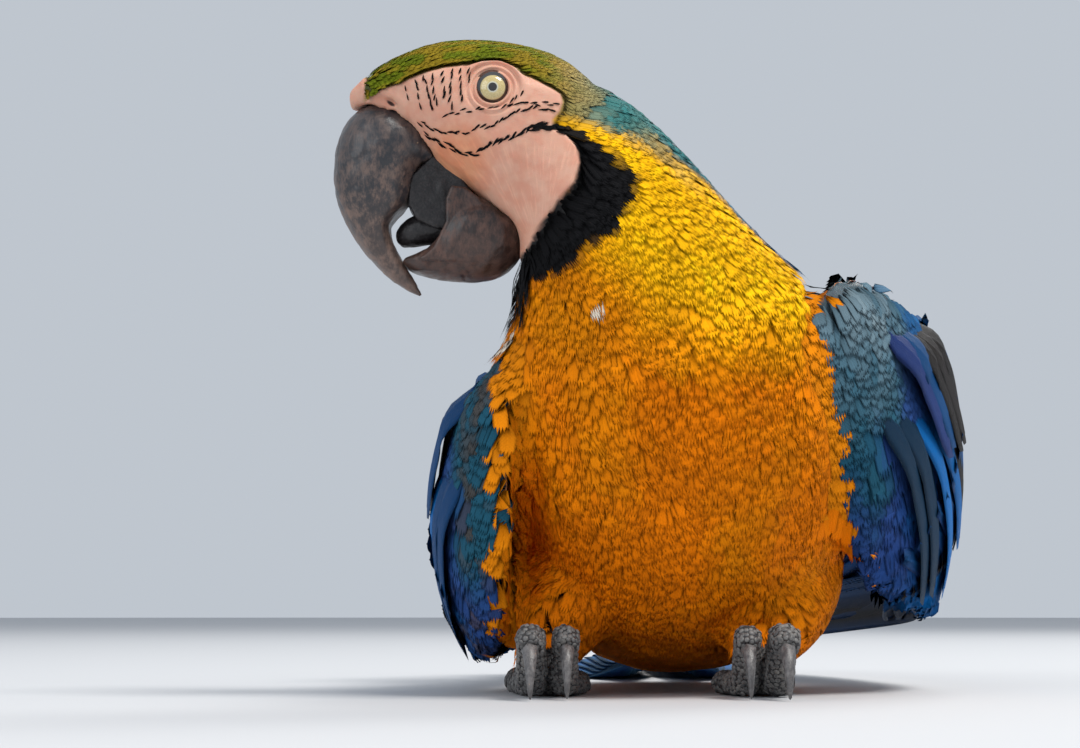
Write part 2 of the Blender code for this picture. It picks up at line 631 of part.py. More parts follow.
# ---------------------------------------------------------------- tail
PAIRS = 6
TAIL_PITCH = FEATHER_THICK + GAP
TAIL_MIDDLE = 0.0110
TAIL_STEP = TAIL_LENGTH / 10
TAIL_RISE = 0.0070
TAIL_HALF_WIDTH = 0.0125
TAIL_NARROWING = 0.0006
TAIL_SPREAD = 0.0085


def ease(value, start, end):
    """Goes smoothly from 0 at start to 1 at end."""
    part = min(max((value - start) / (end - start), 0.0), 1.0)
    return part * part * (3.0 - 2.0 * part)


def tail_steps(pair):
    """The tail is steeply graded: the middle pair is the longest, the outermost half of it."""
    return 10 - pair


def tail_height(pair, along):
    """The underside of a pair above the floor: it lies on the shorter pairs, and then beyond them.

    It bends only at whole steps, where every pair bends, so the stacked feathers never cross.
    """
    whole = np.arange(11)
    heights = [sum(TAIL_PITCH for lower in range(pair + 1, PAIRS) if tail_steps(lower) >= step)
               for step in whole]
    heights[0] += TAIL_RISE
    return float(np.interp(along / TAIL_STEP, whole, heights))


def tail_feather(name, pair, side):
    """One long tail feather: a thin pointed blade that comes down to the floor and lies on it."""
    steps = tail_steps(pair)
    half_width = TAIL_HALF_WIDTH - TAIL_NARROWING * pair
    vertices, faces = [], []
    rows = [*range(steps), steps - 0.45, steps]
    for row in rows:
        along = row * TAIL_STEP
        part = row / steps
        base = tail_height(pair, along)
        width = half_width * (0.55 + 0.45 * ease(part, 0.0, 0.25)) * (1.0 - 0.93 * part ** 5)
        middle = half_width + GAP + (0.0012 + TAIL_SPREAD * part) * pair * (1.0 - 0.15 * part)
        middle -= (half_width - width) * 0.6 * (1.0 - ease(part, 0.0, 0.5))
        middle -= (half_width - width) * ease(part, 0.6, 1.0)
        x, y = TAIL_MIDDLE + side * middle, TAIL_START + along
        edge, shaft = base + 0.7 * FEATHER_THICK, base + FEATHER_THICK
        vertices += [(x - width, y, base), (x + width, y, base), (x + width, y, edge),
                     (x, y, shaft), (x - width, y, edge)]
    for row in range(len(rows) - 1):
        for corner in range(5):
            here, after = row * 5 + corner, row * 5 + (corner + 1) % 5
            faces.append((here, after, after + 5, here + 5))
    faces.append((4, 3, 2, 1, 0))
    faces.append(tuple((len(rows) - 1) * 5 + corner for corner in range(5)))
    make_solid(name, vertices, faces, BLUE_VANE, bird)


for pair in range(PAIRS):
    tail_feather(f"tail_left_{pair + 1}", pair, 1.0)
    tail_feather(f"tail_right_{pair + 1}", pair, -1.0)


# ---------------------------------------------------------------- footprint over the origin
def footprint_middle():
    """The middle of the whole bird's box, seen from above."""
    bpy.context.view_layer.update()
    view = bpy.context.evaluated_depsgraph_get()
    corners = []
    for piece in bpy.data.objects:
        if piece.type == "MESH" and not piece.hide_render:
            whole = piece.evaluated_get(view)
            corners += [whole.matrix_world @ Vector(corner) for corner in whole.bound_box]
    corners = np.array([tuple(corner) for corner in corners])
    return (corners.min(axis=0) + corners.max(axis=0)) / 2


middle_x, middle_y, _ = footprint_middle()
bird.location = (-middle_x, -middle_y, 0.0)
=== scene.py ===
# %% Load the fixed frame
import math

import bmesh
import bpy
import numpy as np
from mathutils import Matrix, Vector
from mathutils.bvhtree import BVHTree


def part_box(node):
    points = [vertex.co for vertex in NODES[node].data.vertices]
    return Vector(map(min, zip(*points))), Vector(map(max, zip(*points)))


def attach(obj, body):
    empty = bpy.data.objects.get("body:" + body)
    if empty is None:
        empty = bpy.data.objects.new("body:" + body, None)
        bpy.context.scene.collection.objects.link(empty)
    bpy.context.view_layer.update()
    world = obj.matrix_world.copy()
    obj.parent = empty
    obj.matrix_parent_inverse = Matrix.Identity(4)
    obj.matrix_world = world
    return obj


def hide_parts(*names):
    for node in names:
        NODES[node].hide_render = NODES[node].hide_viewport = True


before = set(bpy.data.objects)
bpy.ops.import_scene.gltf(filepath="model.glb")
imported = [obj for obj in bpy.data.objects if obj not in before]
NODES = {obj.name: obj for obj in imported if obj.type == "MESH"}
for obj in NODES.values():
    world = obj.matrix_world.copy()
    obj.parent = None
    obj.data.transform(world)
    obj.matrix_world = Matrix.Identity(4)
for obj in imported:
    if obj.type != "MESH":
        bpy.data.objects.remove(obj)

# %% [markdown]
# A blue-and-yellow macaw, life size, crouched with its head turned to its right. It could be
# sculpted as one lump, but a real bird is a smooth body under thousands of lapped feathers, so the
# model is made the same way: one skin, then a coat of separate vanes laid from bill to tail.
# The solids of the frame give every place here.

for started in ("Cube", "Light", "Camera"):
    if started in bpy.data.objects:
        bpy.data.objects.remove(bpy.data.objects[started])
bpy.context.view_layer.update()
SIDES = {"left": 1.0, "right": -1.0}
MM = 0.001


def middle(node):
    """The middle of a solid's box."""
    low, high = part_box(node)
    return np.array((low + high) / 2)


EYE = middle("eye_left")
FACE_MID = (middle("eye_left")[1] + middle("eye_right")[1]) / 2
print("eye", EYE.round(4), "middle plane of the head", round(float(FACE_MID), 4))

# %% [markdown]
# Feathers lie along a line that runs from the bill over the head, down the neck and back to the
# tail. The line goes through the middles of the solids, and each of its points also knows which
# way the bird's back faces there, because the neck twists: the crown faces up, the nape faces the
# bird's left, the mantle faces backward. Lie and colour are both told from this one line.

# %% The line from bill to tail
LINE = np.array([middle(n) for n in ("cere", "head", "neck", "breast", "belly", "rump", "rump")])
LINE[1] += (0.0, 0.0, 0.004)
LINE[-1] += (0.0, 0.090, -0.022)
BACKS = np.array(((-0.30, 0.0, 0.95), (0.30, 0.0, 0.95), (0.78, 0.40, 0.48), (0.25, 0.90, 0.30),
                  (0.0, 0.72, 0.70), (0.0, 0.22, 0.97), (0.0, 0.10, 0.99)))
BLOCK = 20000


def along_line(values, place):
    """Values at places between whole numbers, on a smooth curve."""
    place = np.clip(np.asarray(place, float), 0.0, len(values) - 1.0)
    index = np.minimum(place.astype(int), len(values) - 2)
    part = (place - index)[..., None]
    before, here, ahead = values[np.maximum(index - 1, 0)], values[index], values[index + 1]
    beyond = values[np.minimum(index + 2, len(values) - 1)]
    bend = 2 * before - 5 * here + 4 * ahead - beyond
    twist = 3 * (here - ahead) + beyond - before
    return here + 0.5 * part * (ahead - before + part * (bend + part * twist))


def unit(vectors):
    """Vectors of length one."""
    return vectors / np.maximum(np.linalg.norm(vectors, axis=-1, keepdims=True), 1e-9)


def laid_flat(ways, normals):
    """Directions with what stands off the surface taken away."""
    return unit(ways - (ways * normals).sum(axis=1, keepdims=True) * normals)


LINE_STEPS = np.linspace(0.0, len(LINE) - 1.0, 181)
LINE_POINTS = along_line(LINE, LINE_STEPS)
LINE_RUN = unit(np.gradient(LINE_POINTS, axis=0))
LINE_BACKS = unit(along_line(BACKS, LINE_STEPS))


def on_line(points):
    """For each point, which place of LINE_POINTS is the nearest."""
    blocks = [points[start:start + BLOCK, None] for start in range(0, len(points), BLOCK)]
    return np.concatenate([((block - LINE_POINTS) ** 2).sum(axis=2).argmin(axis=1) for block in blocks])


print("the line is", round(float(np.linalg.norm(np.diff(LINE_POINTS, axis=0), axis=1).sum()), 3), "m long")

# %% [markdown]
# The markings are one function of place, so that skin and feathers always agree. It paints in
# layers, as a miniature painter would: ground colour with painted sun and shade, then the green
# crown, the blue back, the black throat band, and last the bare pale face, whose edge is a short closed outline.

# %% Small numeric helpers
def ease(value, start, end):
    """Goes smoothly from 0 at start to 1 at end."""
    part = np.clip((value - start) / (end - start), 0.0, 1.0)
    return part * part * (3.0 - 2.0 * part)


def hashed(cells, seed):
    """A number from 0 to 1 for every whole cell."""
    mixed = cells[..., 0] * 73856093 ^ cells[..., 1] * 19349663 ^ cells[..., 2] * 83492791
    mixed = (mixed ^ (seed * 2654435761)) & 0xFFFFFFFF
    mixed = ((mixed ^ (mixed >> 13)) * 1274126177) & 0xFFFFFFFF
    return ((mixed ^ (mixed >> 16)) & 0xFFFF) / 65535.0


def soft_noise(points, size, seed=0, stretch=1.0):
    """Smooth noise from -1 to 1 with lumps of about one size."""
    scaled = points * np.array(stretch) / size
    cells = np.floor(scaled).astype(np.int64)
    part = scaled - cells
    part = part * part * (3.0 - 2.0 * part)
    total = np.zeros(len(points))
    for corner in range(8):
        step = np.array((corner & 1, corner >> 1 & 1, corner >> 2 & 1))
        total += np.where(step, part, 1.0 - part).prod(axis=1) * hashed(cells + step, seed)
    return 2.0 * total - 1.0


def edge_distance(flat, outline):
    """How far flat points lie inside a closed outline, negative outside."""
    nearest = np.full(len(flat), 1e9)
    inside = np.zeros(len(flat), bool)
    for start, end in zip(outline, np.roll(outline, -1, axis=0)):
        side = end - start
        part = np.clip(((flat - start) @ side) / (side @ side), 0.0, 1.0)
        gap = flat - start - part[:, None] * side
        nearest = np.minimum(nearest, np.hypot(gap[:, 0], gap[:, 1]))
        rises = (start[1] > flat[:, 1]) != (end[1] > flat[:, 1])
        cross = start[0] + (flat[:, 1] - start[1]) * side[0] / (side[1] if side[1] else 1e-9)
        inside ^= rises & (flat[:, 0] < cross)
    return np.where(inside, nearest, -nearest)


# %% The bare face and the marking function
# Outlines on the head's side, from the eye: back and up in millimetres. First the bare face, then
# the black bib under the bill, which narrows upward behind the cheek and hangs before the neck.
FACE_EDGE = np.array(((-60, -3.5), (-46, -1.0), (-38, 2.5), (-33, 3.4), (-28.6, 5.2), (-22.4, 7.3),
                      (-16.3, 8.6), (-8.8, 9.3), (-3.9, 10.4), (2.2, 10.5), (7.2, 8.2), (10.6, 5.2),
                      (14.6, 3.4), (18.9, 1.3), (23.5, -1.5), (24.2, -4.5), (23.0, -8), (20.7, -11),
                      (20.4, -14), (25.2, -16.2), (28.8, -20.4), (29.8, -26.7), (28.0, -33.5),
                      (22.5, -39.5), (18.6, -44.5), (15.0, -49), (12.4, -54), (4, -60), (-20, -60),
                      (-40, -40), (-60, -30))) * MM
BIB_EDGE = np.array(((15, -13.5), (24, -13.0), (31, -17), (41, -24), (50, -33), (50, -44), (43, -54),
                     (30, -62), (16, -68), (6, -76), (-12, -78), (-14, -60), (10, -50), (26, -36), (24, -22))) * MM
# Ahead of this line the whole root of the bill is bare, over the ridge too.
CERE_LINE = -45.0 * MM
YELLOW, ORANGE, GREEN, OLIVE, TEAL, BLUE, BLACK, BARE = np.array((
    (0.98, 0.50, 0.003), (0.80, 0.190, 0.001), (0.120, 0.150, 0.006), (0.250, 0.175, 0.012),
    (0.030, 0.150, 0.150), (0.004, 0.075, 0.240), (0.007, 0.007, 0.008), (0.66, 0.36, 0.255)))


def face_place(points):
    """Places on the head seen from its side: back from the eye, up from the eye."""
    return points[:, ::2] - EYE[::2]


def face_inside(points):
    """How far inside the bare face each point is, in metres; the crown is outside it."""
    back = face_place(points)[:, 0]
    inside = edge_distance(face_place(points), FACE_EDGE)
    ridge = np.minimum(inside, np.abs(points[:, 1] - FACE_MID) - 4.0 * MM)
    over_cere = np.maximum(CERE_LINE - back, ridge)
    return np.where(back < -25 * MM, np.where(back < CERE_LINE, over_cere, ridge), inside)


def layer(under, over, share):
    """Paints one colour over another."""
    return under + (over - under) * share[:, None]


def body_marking(points, bare=True):
    """Ground colour of trunk, neck and head at every point, with or without the bare face; its yellow and orange
    hold painted sun and shade.
    """
    found = on_line(points)
    step = LINE_STEPS[found]
    back = (unit(points - LINE_POINTS[found]) * LINE_BACKS[found]).sum(axis=1)
    wander, fine = soft_noise(points, 0.012, 3), soft_noise(points, 0.004, 4)
    flat = face_place(points)
    # Painted light: the bird's left side, where the sun falls, is pushed toward yellow; lower down the yellow
    # turns orange, partly the bird's own colour and partly painted shade.
    sunny = 0.034 * ease(points[:, 0], -0.045, 0.005)
    broad = soft_noise(points, 0.022, 6, (1.0, 1.0, 0.5))
    low = ease(points[:, 2] + sunny + 0.008 * broad + 0.003 * wander, EYE[2] - 0.034, EYE[2] - 0.074)
    colour = layer(YELLOW, ORANGE, np.clip(0.06 + 0.90 * low + 0.16 * broad * low + 0.06 * fine, 0, 1))
    # Stretched noise makes lighter and darker streaks along the lie: painted shade of soft folds in the plumage,
    # with a broad random tone.
    colour = colour * (1 + 0.12 * soft_noise(points, 0.009, 8, (1.0, 1.0, 0.32)) + 0.08 * broad)[:, None]
    blue_back = ease(back + 0.10 * wander, 0.42, 0.58) * ease(step, 1.5, 1.9)
    colour = layer(colour, BLUE, blue_back)
    colour = layer(colour, TEAL, blue_back * ease(step, 2.8, 1.7))
    crown = ease(back + 0.08 * wander, 0.06, 0.30) * ease(step, 2.2, 1.6)
    crown = np.maximum(crown, ease(flat[:, 0], -12 * MM, -20 * MM) * ease(step, 1.6, 1.3))
    green_blue = ease(flat[:, 0] + 0.004 * wander, 0.014, 0.045)
    strokes = soft_noise(points, 0.0022, 7, (0.35, 1.0, 0.6))
    colour = layer(colour, layer(GREEN, OLIVE, ease(strokes, -0.35, 0.45)), crown * (1 - green_blue))
    colour = layer(colour, TEAL, crown * green_blue)
    bib = edge_distance(flat, BIB_EDGE) + (1.6 * wander + 1.4 * fine) * MM
    colour = layer(colour, BLACK,
                   ease(bib, -1.0 * MM, 1.2 * MM) * ease(back, 0.35, 0.20) * ease(step, 3.1, 2.7))
    if not bare:
        return colour
    return layer(colour, BARE, ease(face_inside(points), -0.4 * MM, 0.6 * MM))


sample = body_marking(np.array([middle("head"), middle("breast"), middle("rump")]))
print("colours at head, breast and rump", sample.round(2).tolist())

# %% [markdown]
# The skin is the body without its coat. It could be one rough remesh of everything, but the face
# and the feet show bare and need fine folds, while the rest is hidden. So three shells are made
# from copies of the solids, coarse for the trunk, fine for the head and finest for the feet, and
# then joined into one closed body.

# %% Meshes to arrays and back
def read(items, key, width, kind=np.float32):
    """One kind of value of every item, a row for each."""
    values = np.empty(len(items) * width, kind)
    items.foreach_get(key, values)
    return values.reshape(-1, width)


def mesh_arrays(mesh):
    """Vertices and triangle corners of a mesh."""
    mesh.calc_loop_triangles()
    return read(mesh.vertices, "co", 3).astype(float), read(mesh.loop_triangles, "vertices", 3, np.int32)


def edited(shape):
    """Vertices and triangle corners of an edit mesh, which is then let go."""
    mesh = bpy.data.meshes.new("edited")
    shape.to_mesh(mesh)
    shape.free()
    return mesh_arrays(mesh)


def stacked(blocks):
    """Points and faces of several meshes as those of one."""
    starts = np.cumsum([0] + [len(points) for points, _ in blocks])
    return (np.concatenate([points for points, _ in blocks]),
            np.concatenate([faces + start for (_, faces), start in zip(blocks, starts)]))


def mesh_from(name, vertices, faces):
    """A mesh from arrays, shaded smooth; the faces are all triangles or all quads, and none is kept twice."""
    _, first = np.unique(np.sort(faces, axis=1), axis=0, return_index=True)
    faces = faces[np.sort(first)]
    mesh = bpy.data.meshes.new(name)
    count, corners = faces.shape
    mesh.vertices.add(len(vertices))
    mesh.vertices.foreach_set("co", np.asarray(vertices, np.float32).ravel())
    mesh.loops.add(count * corners)
    mesh.loops.foreach_set("vertex_index", np.asarray(faces, np.int32).ravel())
    mesh.polygons.add(count)
    mesh.polygons.foreach_set("loop_start", np.arange(0, count * corners, corners, dtype=np.int32))
    mesh.update(calc_edges=True)
    mesh.validate()
    mesh.shade_smooth()
    return mesh


def piece_from(name, mesh):
    """A piece in the scene that shows a mesh."""
    piece = bpy.data.objects.new(name, mesh)
    bpy.context.scene.collection.objects.link(piece)
    return piece


def plain_mesh(piece, name):
    """The piece's mesh as its modifiers leave it."""
    view = bpy.context.evaluated_depsgraph_get()
    mesh = bpy.data.meshes.new_from_object(piece.evaluated_get(view))
    mesh.name = name
    return mesh


def tree_of(vertices, faces):
    """A search tree over a mesh."""
    return BVHTree.FromPolygons([tuple(v) for v in vertices], [tuple(int(c) for c in f) for f in faces])


def joined_tree(nodes):
    """A search tree over several solids."""
    return tree_of(*stacked([mesh_arrays(NODES[node].data) for node in nodes]))


def distances(tree, points):
    """How far each point is from a surface."""
    return np.array([tree.find_nearest(Vector(p))[3] for p in points])


def named(*starts):
    """The solids whose names start with any of these words."""
    return [n for n in sorted(NODES) if n.startswith(starts)]


# %% Shells of the skin
def evened(vertices, edges, rounds, keep=0.53):
    """Vertices after rounds of smoothing that neither shrinks nor swells the shape."""
    count = np.bincount(edges.ravel(), minlength=len(vertices))[:, None]
    for turn in range(2 * rounds):
        total = np.zeros_like(vertices)
        np.add.at(total, edges[:, 0], vertices[edges[:, 1]])
        np.add.at(total, edges[:, 1], vertices[edges[:, 0]])
        share = 0.5 if turn % 2 == 0 else -keep
        vertices = vertices + share * (total / np.maximum(count, 1) - vertices)
    return vertices


def shell(name, nodes, voxel, rounds, swell=0.3 * MM, rounding=0, more=()):
    """One closed, even mesh round copies of several solids, with their facets rounded off first."""
    blocks = list(more)
    for node in nodes:
        copy = bmesh.new()
        copy.from_mesh(NODES[node].data)
        bmesh.ops.remove_doubles(copy, verts=copy.verts, dist=1e-5)
        copy.normal_update()
        for vertex in copy.verts:
            vertex.co += vertex.normal * swell
        blocks.append(edited(copy))
    lump = piece_from(name, mesh_from(name, *stacked(blocks)))
    if rounding:
        rounded = lump.modifiers.new("round", "SUBSURF")
        rounded.levels = rounded.render_levels = rounding
    remesh = lump.modifiers.new("even mesh", "REMESH")
    remesh.mode, remesh.voxel_size = "VOXEL", voxel
    even = plain_mesh(lump, name)
    bpy.data.objects.remove(lump)
    vertices = read(even.vertices, "co", 3).astype(float)
    quads = read(even.loops, "vertex_index", 1, np.int32).reshape(-1, 4)
    return evened(vertices, read(even.edges, "vertices", 2, np.int32), rounds), quads


def normals_of(vertices, faces):
    """A smooth outward direction at every vertex."""
    flat = np.cross(vertices[faces[:, 2]] - vertices[faces[:, 0]],
                    vertices[faces[:, -1]] - vertices[faces[:, 1]])
    total = np.zeros_like(vertices)
    for corner in range(faces.shape[1]):
        np.add.at(total, faces[:, corner], flat)
    return unit(total)


def collar(points, reach=19.0 * MM):
    """A block that fills the crease between neck and breast: the hull of what lies near both."""
    near = np.maximum(distances(joined_tree(["neck"]), points), distances(joined_tree(["breast"]), points))
    shape = bmesh.new()
    for point in points[near < reach]:
        shape.verts.new(point)
    bmesh.ops.convex_hull(shape, input=shape.verts)
    bmesh.ops.delete(shape, geom=[v for v in shape.verts if not v.link_faces], context="VERTS")
    bmesh.ops.triangulate(shape, faces=shape.faces)
    return edited(shape)


TRUNK_VOXEL, HEAD_VOXEL, FOOT_VOXEL = 3.2 * MM, 1.3 * MM, 1.0 * MM
TRUNK_NODES = named("rump", "belly", "breast", "thigh", "wing_left_arm", "wing_right_arm")
skull, skull_quads = shell("skull", ["head", "cere", "neck", "eye_left", "eye_right"], HEAD_VOXEL, 6)
near_collar = np.concatenate([shell(node, [node], TRUNK_VOXEL, 2)[0] for node in ("breast", "neck")])
trunk, trunk_quads = shell("trunk", TRUNK_NODES, TRUNK_VOXEL, 2, more=[collar(near_collar)])
feet, feet_quads = shell("feet", named("toe", "tarsus"), FOOT_VOXEL, 2)
print("trunk, head and feet have", len(trunk_quads), len(skull_quads), len(feet_quads), "quads")

# %% [markdown]
# Round the eye the skin rises in rolls: the thin rim of the lids, a groove, a second soft roll and
# the brow above and behind. They could be a bump in the finish, but light from the side would give
# that away, so the skin itself is moved, as a height over the head's middle plane. Under the eye
# the skin runs on behind the ball, so that no hole is left.

# %% Finer skin on the face
BALL = (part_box("eye_left")[1][2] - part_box("eye_left")[0][2]) / 2
EYE_OUT = abs(EYE[1] - FACE_MID)
LID = 5.2 * MM


def finer(vertices, faces, wanted):
    """The mesh with the faces that hold wanted vertices split once; it becomes triangles."""
    shape = bmesh.new()
    shape.from_mesh(mesh_from("finer", vertices, faces))
    shape.verts.ensure_lookup_table()
    chosen = [f for f in shape.faces if all(wanted[v.index] for v in f.verts)]
    edges = list(dict.fromkeys(edge for face in chosen for edge in face.edges))
    bmesh.ops.subdivide_edges(shape, edges=edges, cuts=1, use_grid_fill=True)
    bmesh.ops.triangulate(shape, faces=shape.faces)
    return edited(shape)


def eye_reach(points):
    """How far each point is from the axis of the eye on its side."""
    return np.hypot(*face_place(points).T)


cheek = (face_inside(skull) > -1.0 * MM) & (eye_reach(skull) < 45 * MM)
skull, skull_faces = finer(skull, skull_quads, cheek)
lids = (eye_reach(skull) < 10.5 * MM) & (np.abs(skull[:, 1] - FACE_MID) > 15 * MM)
skull, skull_faces = finer(skull, skull_faces, lids)
print("the head has", len(skull_faces), "triangles")

# %% Lids, brow, nostril and folds of the face
def roll(value, middle_at, width):
    """A soft ridge of height one."""
    return np.exp(-((value - middle_at) / width) ** 2)


def face_relief(points):
    """The head with its lids and brow raised."""
    side = np.sign(points[:, 1] - FACE_MID)
    out = np.abs(points[:, 1] - FACE_MID)
    flat, reach = face_place(points), eye_reach(points)
    plane = np.column_stack((flat, np.ones(len(flat))))
    ring = (reach > 8.5 * MM) & (reach < 11.0 * MM) & (out > 15 * MM)
    level = plane @ np.linalg.lstsq(plane[ring], out[ring], rcond=None)[0]
    base = np.where(reach < 8.0 * MM, level, level + (out - level) * ease(reach, 8.0 * MM, 10.5 * MM))
    above = ease(np.sin(np.arctan2(flat[:, 1], flat[:, 0]) + 0.15), 0.05, 0.75)
    rise = 0.85 * roll(reach, 5.95 * MM, 0.55 * MM) - 0.30 * roll(reach, 7.0 * MM, 0.40 * MM)
    rise += 0.50 * roll(reach, 7.9 * MM, 0.55 * MM) - 0.40 * roll(reach, 9.1 * MM, 0.55 * MM)
    rise += 1.55 * above * roll(reach, 10.6 * MM, 1.2 * MM) - 0.60 * above * roll(reach, 12.9 * MM, 0.8 * MM)
    ball = EYE_OUT + np.sqrt(np.maximum(BALL ** 2 - reach ** 2, 0.0)) - 0.7 * MM
    lifted = base + rise * MM
    on_lid = ball + (lifted - ball) * ease(reach, LID - 0.4 * MM, LID + 0.4 * MM)
    lifted = np.where(reach < LID + 0.5 * MM, on_lid, lifted)
    moved = np.where((reach < 16 * MM) & (out > 12 * MM), lifted, out)
    return np.column_stack((points[:, 0], FACE_MID + side * moved, points[:, 2]))


def calmed(points, faces, share, rounds):
    """Points drawn to the middle of their neighbours, by a share that varies from place to place."""
    edges = np.unique(np.sort(np.concatenate((faces[:, :2], faces[:, 1:], faces[:, ::2])), axis=1), axis=0)
    edges = edges[(share[edges] > 0).any(axis=1)]
    here, there = np.concatenate((edges, edges[:, ::-1])).T
    count = np.maximum(np.bincount(here, minlength=len(points)), 1)
    for _ in range(rounds):
        total = np.stack([np.bincount(here, points[there, axis], len(points)) for axis in range(3)], 1)
        points = points + share[:, None] * (total / count[:, None] - points)
    return points


NOSTRIL, SLIT_TILT = np.array((-35.7, -2.7)) * MM, math.radians(-35)
flat = face_place(skull)
crease = ease(np.hypot(flat[:, 0] - 20 * MM, (flat[:, 1] + 34 * MM) * 0.62), 22 * MM, 13 * MM)
skull = face_relief(calmed(skull, skull_faces, 0.6 * crease, 60))
flat, reach = face_place(skull), eye_reach(skull)
bare = ease(face_inside(skull), -1.5 * MM, 1.0 * MM)
coat_depth = (1.6 + 3.0 * ease(LINE_STEPS[on_line(skull)], 1.3, 2.0)) * MM
turn = np.arctan2(flat[:, 1], flat[:, 0])
wrinkles = soft_noise(np.column_stack((turn * 9 * MM, reach * 0.35, skull[:, 1] * 0.2)), 0.9 * MM, 5)
from_slit = flat - NOSTRIL
along_slit = from_slit[:, 0] * math.cos(SLIT_TILT) + from_slit[:, 1] * math.sin(SLIT_TILT)
across_slit = from_slit[:, 1] * math.cos(SLIT_TILT) - from_slit[:, 0] * math.sin(SLIT_TILT)
to_nostril = np.hypot(along_slit / 2.4, across_slit)
swelling = 0.7 * roll(to_nostril, 2.6 * MM, 1.2 * MM) - 2.2 * roll(to_nostril, 0.0, 0.75 * MM)
on_side = ease(np.abs(skull[:, 1] - FACE_MID), 3 * MM, 7 * MM)
folds = 0.12 * MM * wrinkles * (bare * ease(reach, 9.0 * MM, 15.0 * MM))
move = -coat_depth * (1 - bare) + folds + swelling * MM * on_side
skull = skull + normals_of(skull, skull_faces) * move[:, None]
print("the skin's face is moved by", move.min().round(4), "to", move.max().round(4))

# %% [markdown]
# The coat is four to five millimetres deep on the trunk and less where the body is thin, so the
# skin is drawn in by that much, and by no more than a share of its own thickness.

# %% Draw the trunk in and join the skin
def drawn_in(vertices, quads, depth, share):
    """The mesh moved inward by a depth, or by a share of its thickness where that is less."""
    tree = tree_of(vertices, quads)
    outward = normals_of(vertices, quads)
    thick = np.full(len(vertices), 1.0)
    for index, (point, way) in enumerate(zip(vertices, outward)):
        hit = tree.ray_cast(Vector(point - way * 0.2 * MM), Vector(-way))
        if hit[3] is not None:
            thick[index] = hit[3]
    return vertices - outward * np.minimum(depth, share * thick)[:, None]


TRUNK_COAT = 4.5 * MM
trunk = drawn_in(trunk, trunk_quads, TRUNK_COAT, 0.24)
shells = {"skin": (skull, skull_faces), "trunk": (trunk, trunk_quads), "feet": (feet, feet_quads)}
parts = [piece_from(name, mesh_from(name, *arrays)) for name, arrays in shells.items()]
for other in parts[1:]:
    join = parts[0].modifiers.new("join " + other.name, "BOOLEAN")
    join.operation, join.solver, join.object = "UNION", "MANIFOLD", other
skin_points, skin_faces = mesh_arrays(plain_mesh(parts[0], "skin"))
for part in parts:
    bpy.data.objects.remove(part)
seam_step = LINE_STEPS[on_line(skin_points)]
near_seam = (seam_step > 1.6) & (seam_step < 3.2)
seam_gap = np.maximum(distances(joined_tree(["neck"]), skin_points[near_seam]),
                      distances(joined_tree(["breast", "wing_left_arm"]), skin_points[near_seam]))
seam = np.zeros(len(skin_points))
seam[near_seam] = ease(seam_gap, 24 * MM, 16 * MM)
seam *= ease(face_inside(skin_points), 0.0, -6.0 * MM)
skin_points = calmed(skin_points, skin_faces, 0.65 * seam, 50)
skin_points[:, 2] = np.maximum(skin_points[:, 2], 0.05 * MM)
skin = piece_from("skin", mesh_from("skin", skin_points, skin_faces))
skin_tree = tree_of(skin_points, skin_faces)
print("the skin has", len(skin_faces), "triangles")

# %% [markdown]
# A finish is written as arithmetic. Each shader value is wrapped, so that plus and times on it add
# the nodes, and a material then reads as the formula that it is.

# %% Node values as arithmetic
def plug(tree, socket, value):
    """Links a wrapped value to a socket, or sets the socket to a plain one."""
    if isinstance(value, Wire):
        tree.links.new(value.socket, socket)
    else:
        socket.default_value = value


def node_in(tree, kind, settings=None, output=0, **inputs):
    """A new node: its settings first, then its sockets by name, or as i and a number."""
    node = tree.nodes.new(kind)
    for key, value in (settings or {}).items():
        setattr(node, key, value)
    for key, value in inputs.items():
        plug(tree, node.inputs[int(key[1:]) if key[1:].isdigit() else key.replace("_", " ")], value)
    return Wire(tree, node.outputs[output])


class Wire:
    """One value of a node tree. Plain arithmetic on it adds Math nodes."""

    def __init__(self, tree, socket):
        self.tree, self.socket = tree, socket

    def maths(self, operation, *others):
        """A Math node on this value and others."""
        sockets = {f"i{place}": value for place, value in enumerate((self, *others))}
        return node_in(self.tree, "ShaderNodeMath", {"operation": operation}, **sockets)

    def __add__(self, other):
        return self.maths("ADD", other)

    def __sub__(self, other):
        return self.maths("SUBTRACT", other)

    def __mul__(self, other):
        return self.maths("MULTIPLY", other)

    def __truediv__(self, other):
        return self.maths("DIVIDE", other)

    def __rsub__(self, other):
        return self * -1.0 + other

    __radd__ = __add__
    __rmul__ = __mul__

    def between(self, low, high):
        """Goes smoothly from 0 to 1 as the value goes from low to high."""
        smooth = {"interpolation_type": "SMOOTHSTEP"}
        return node_in(self.tree, "ShaderNodeMapRange", smooth, i0=self, i1=low, i2=high)


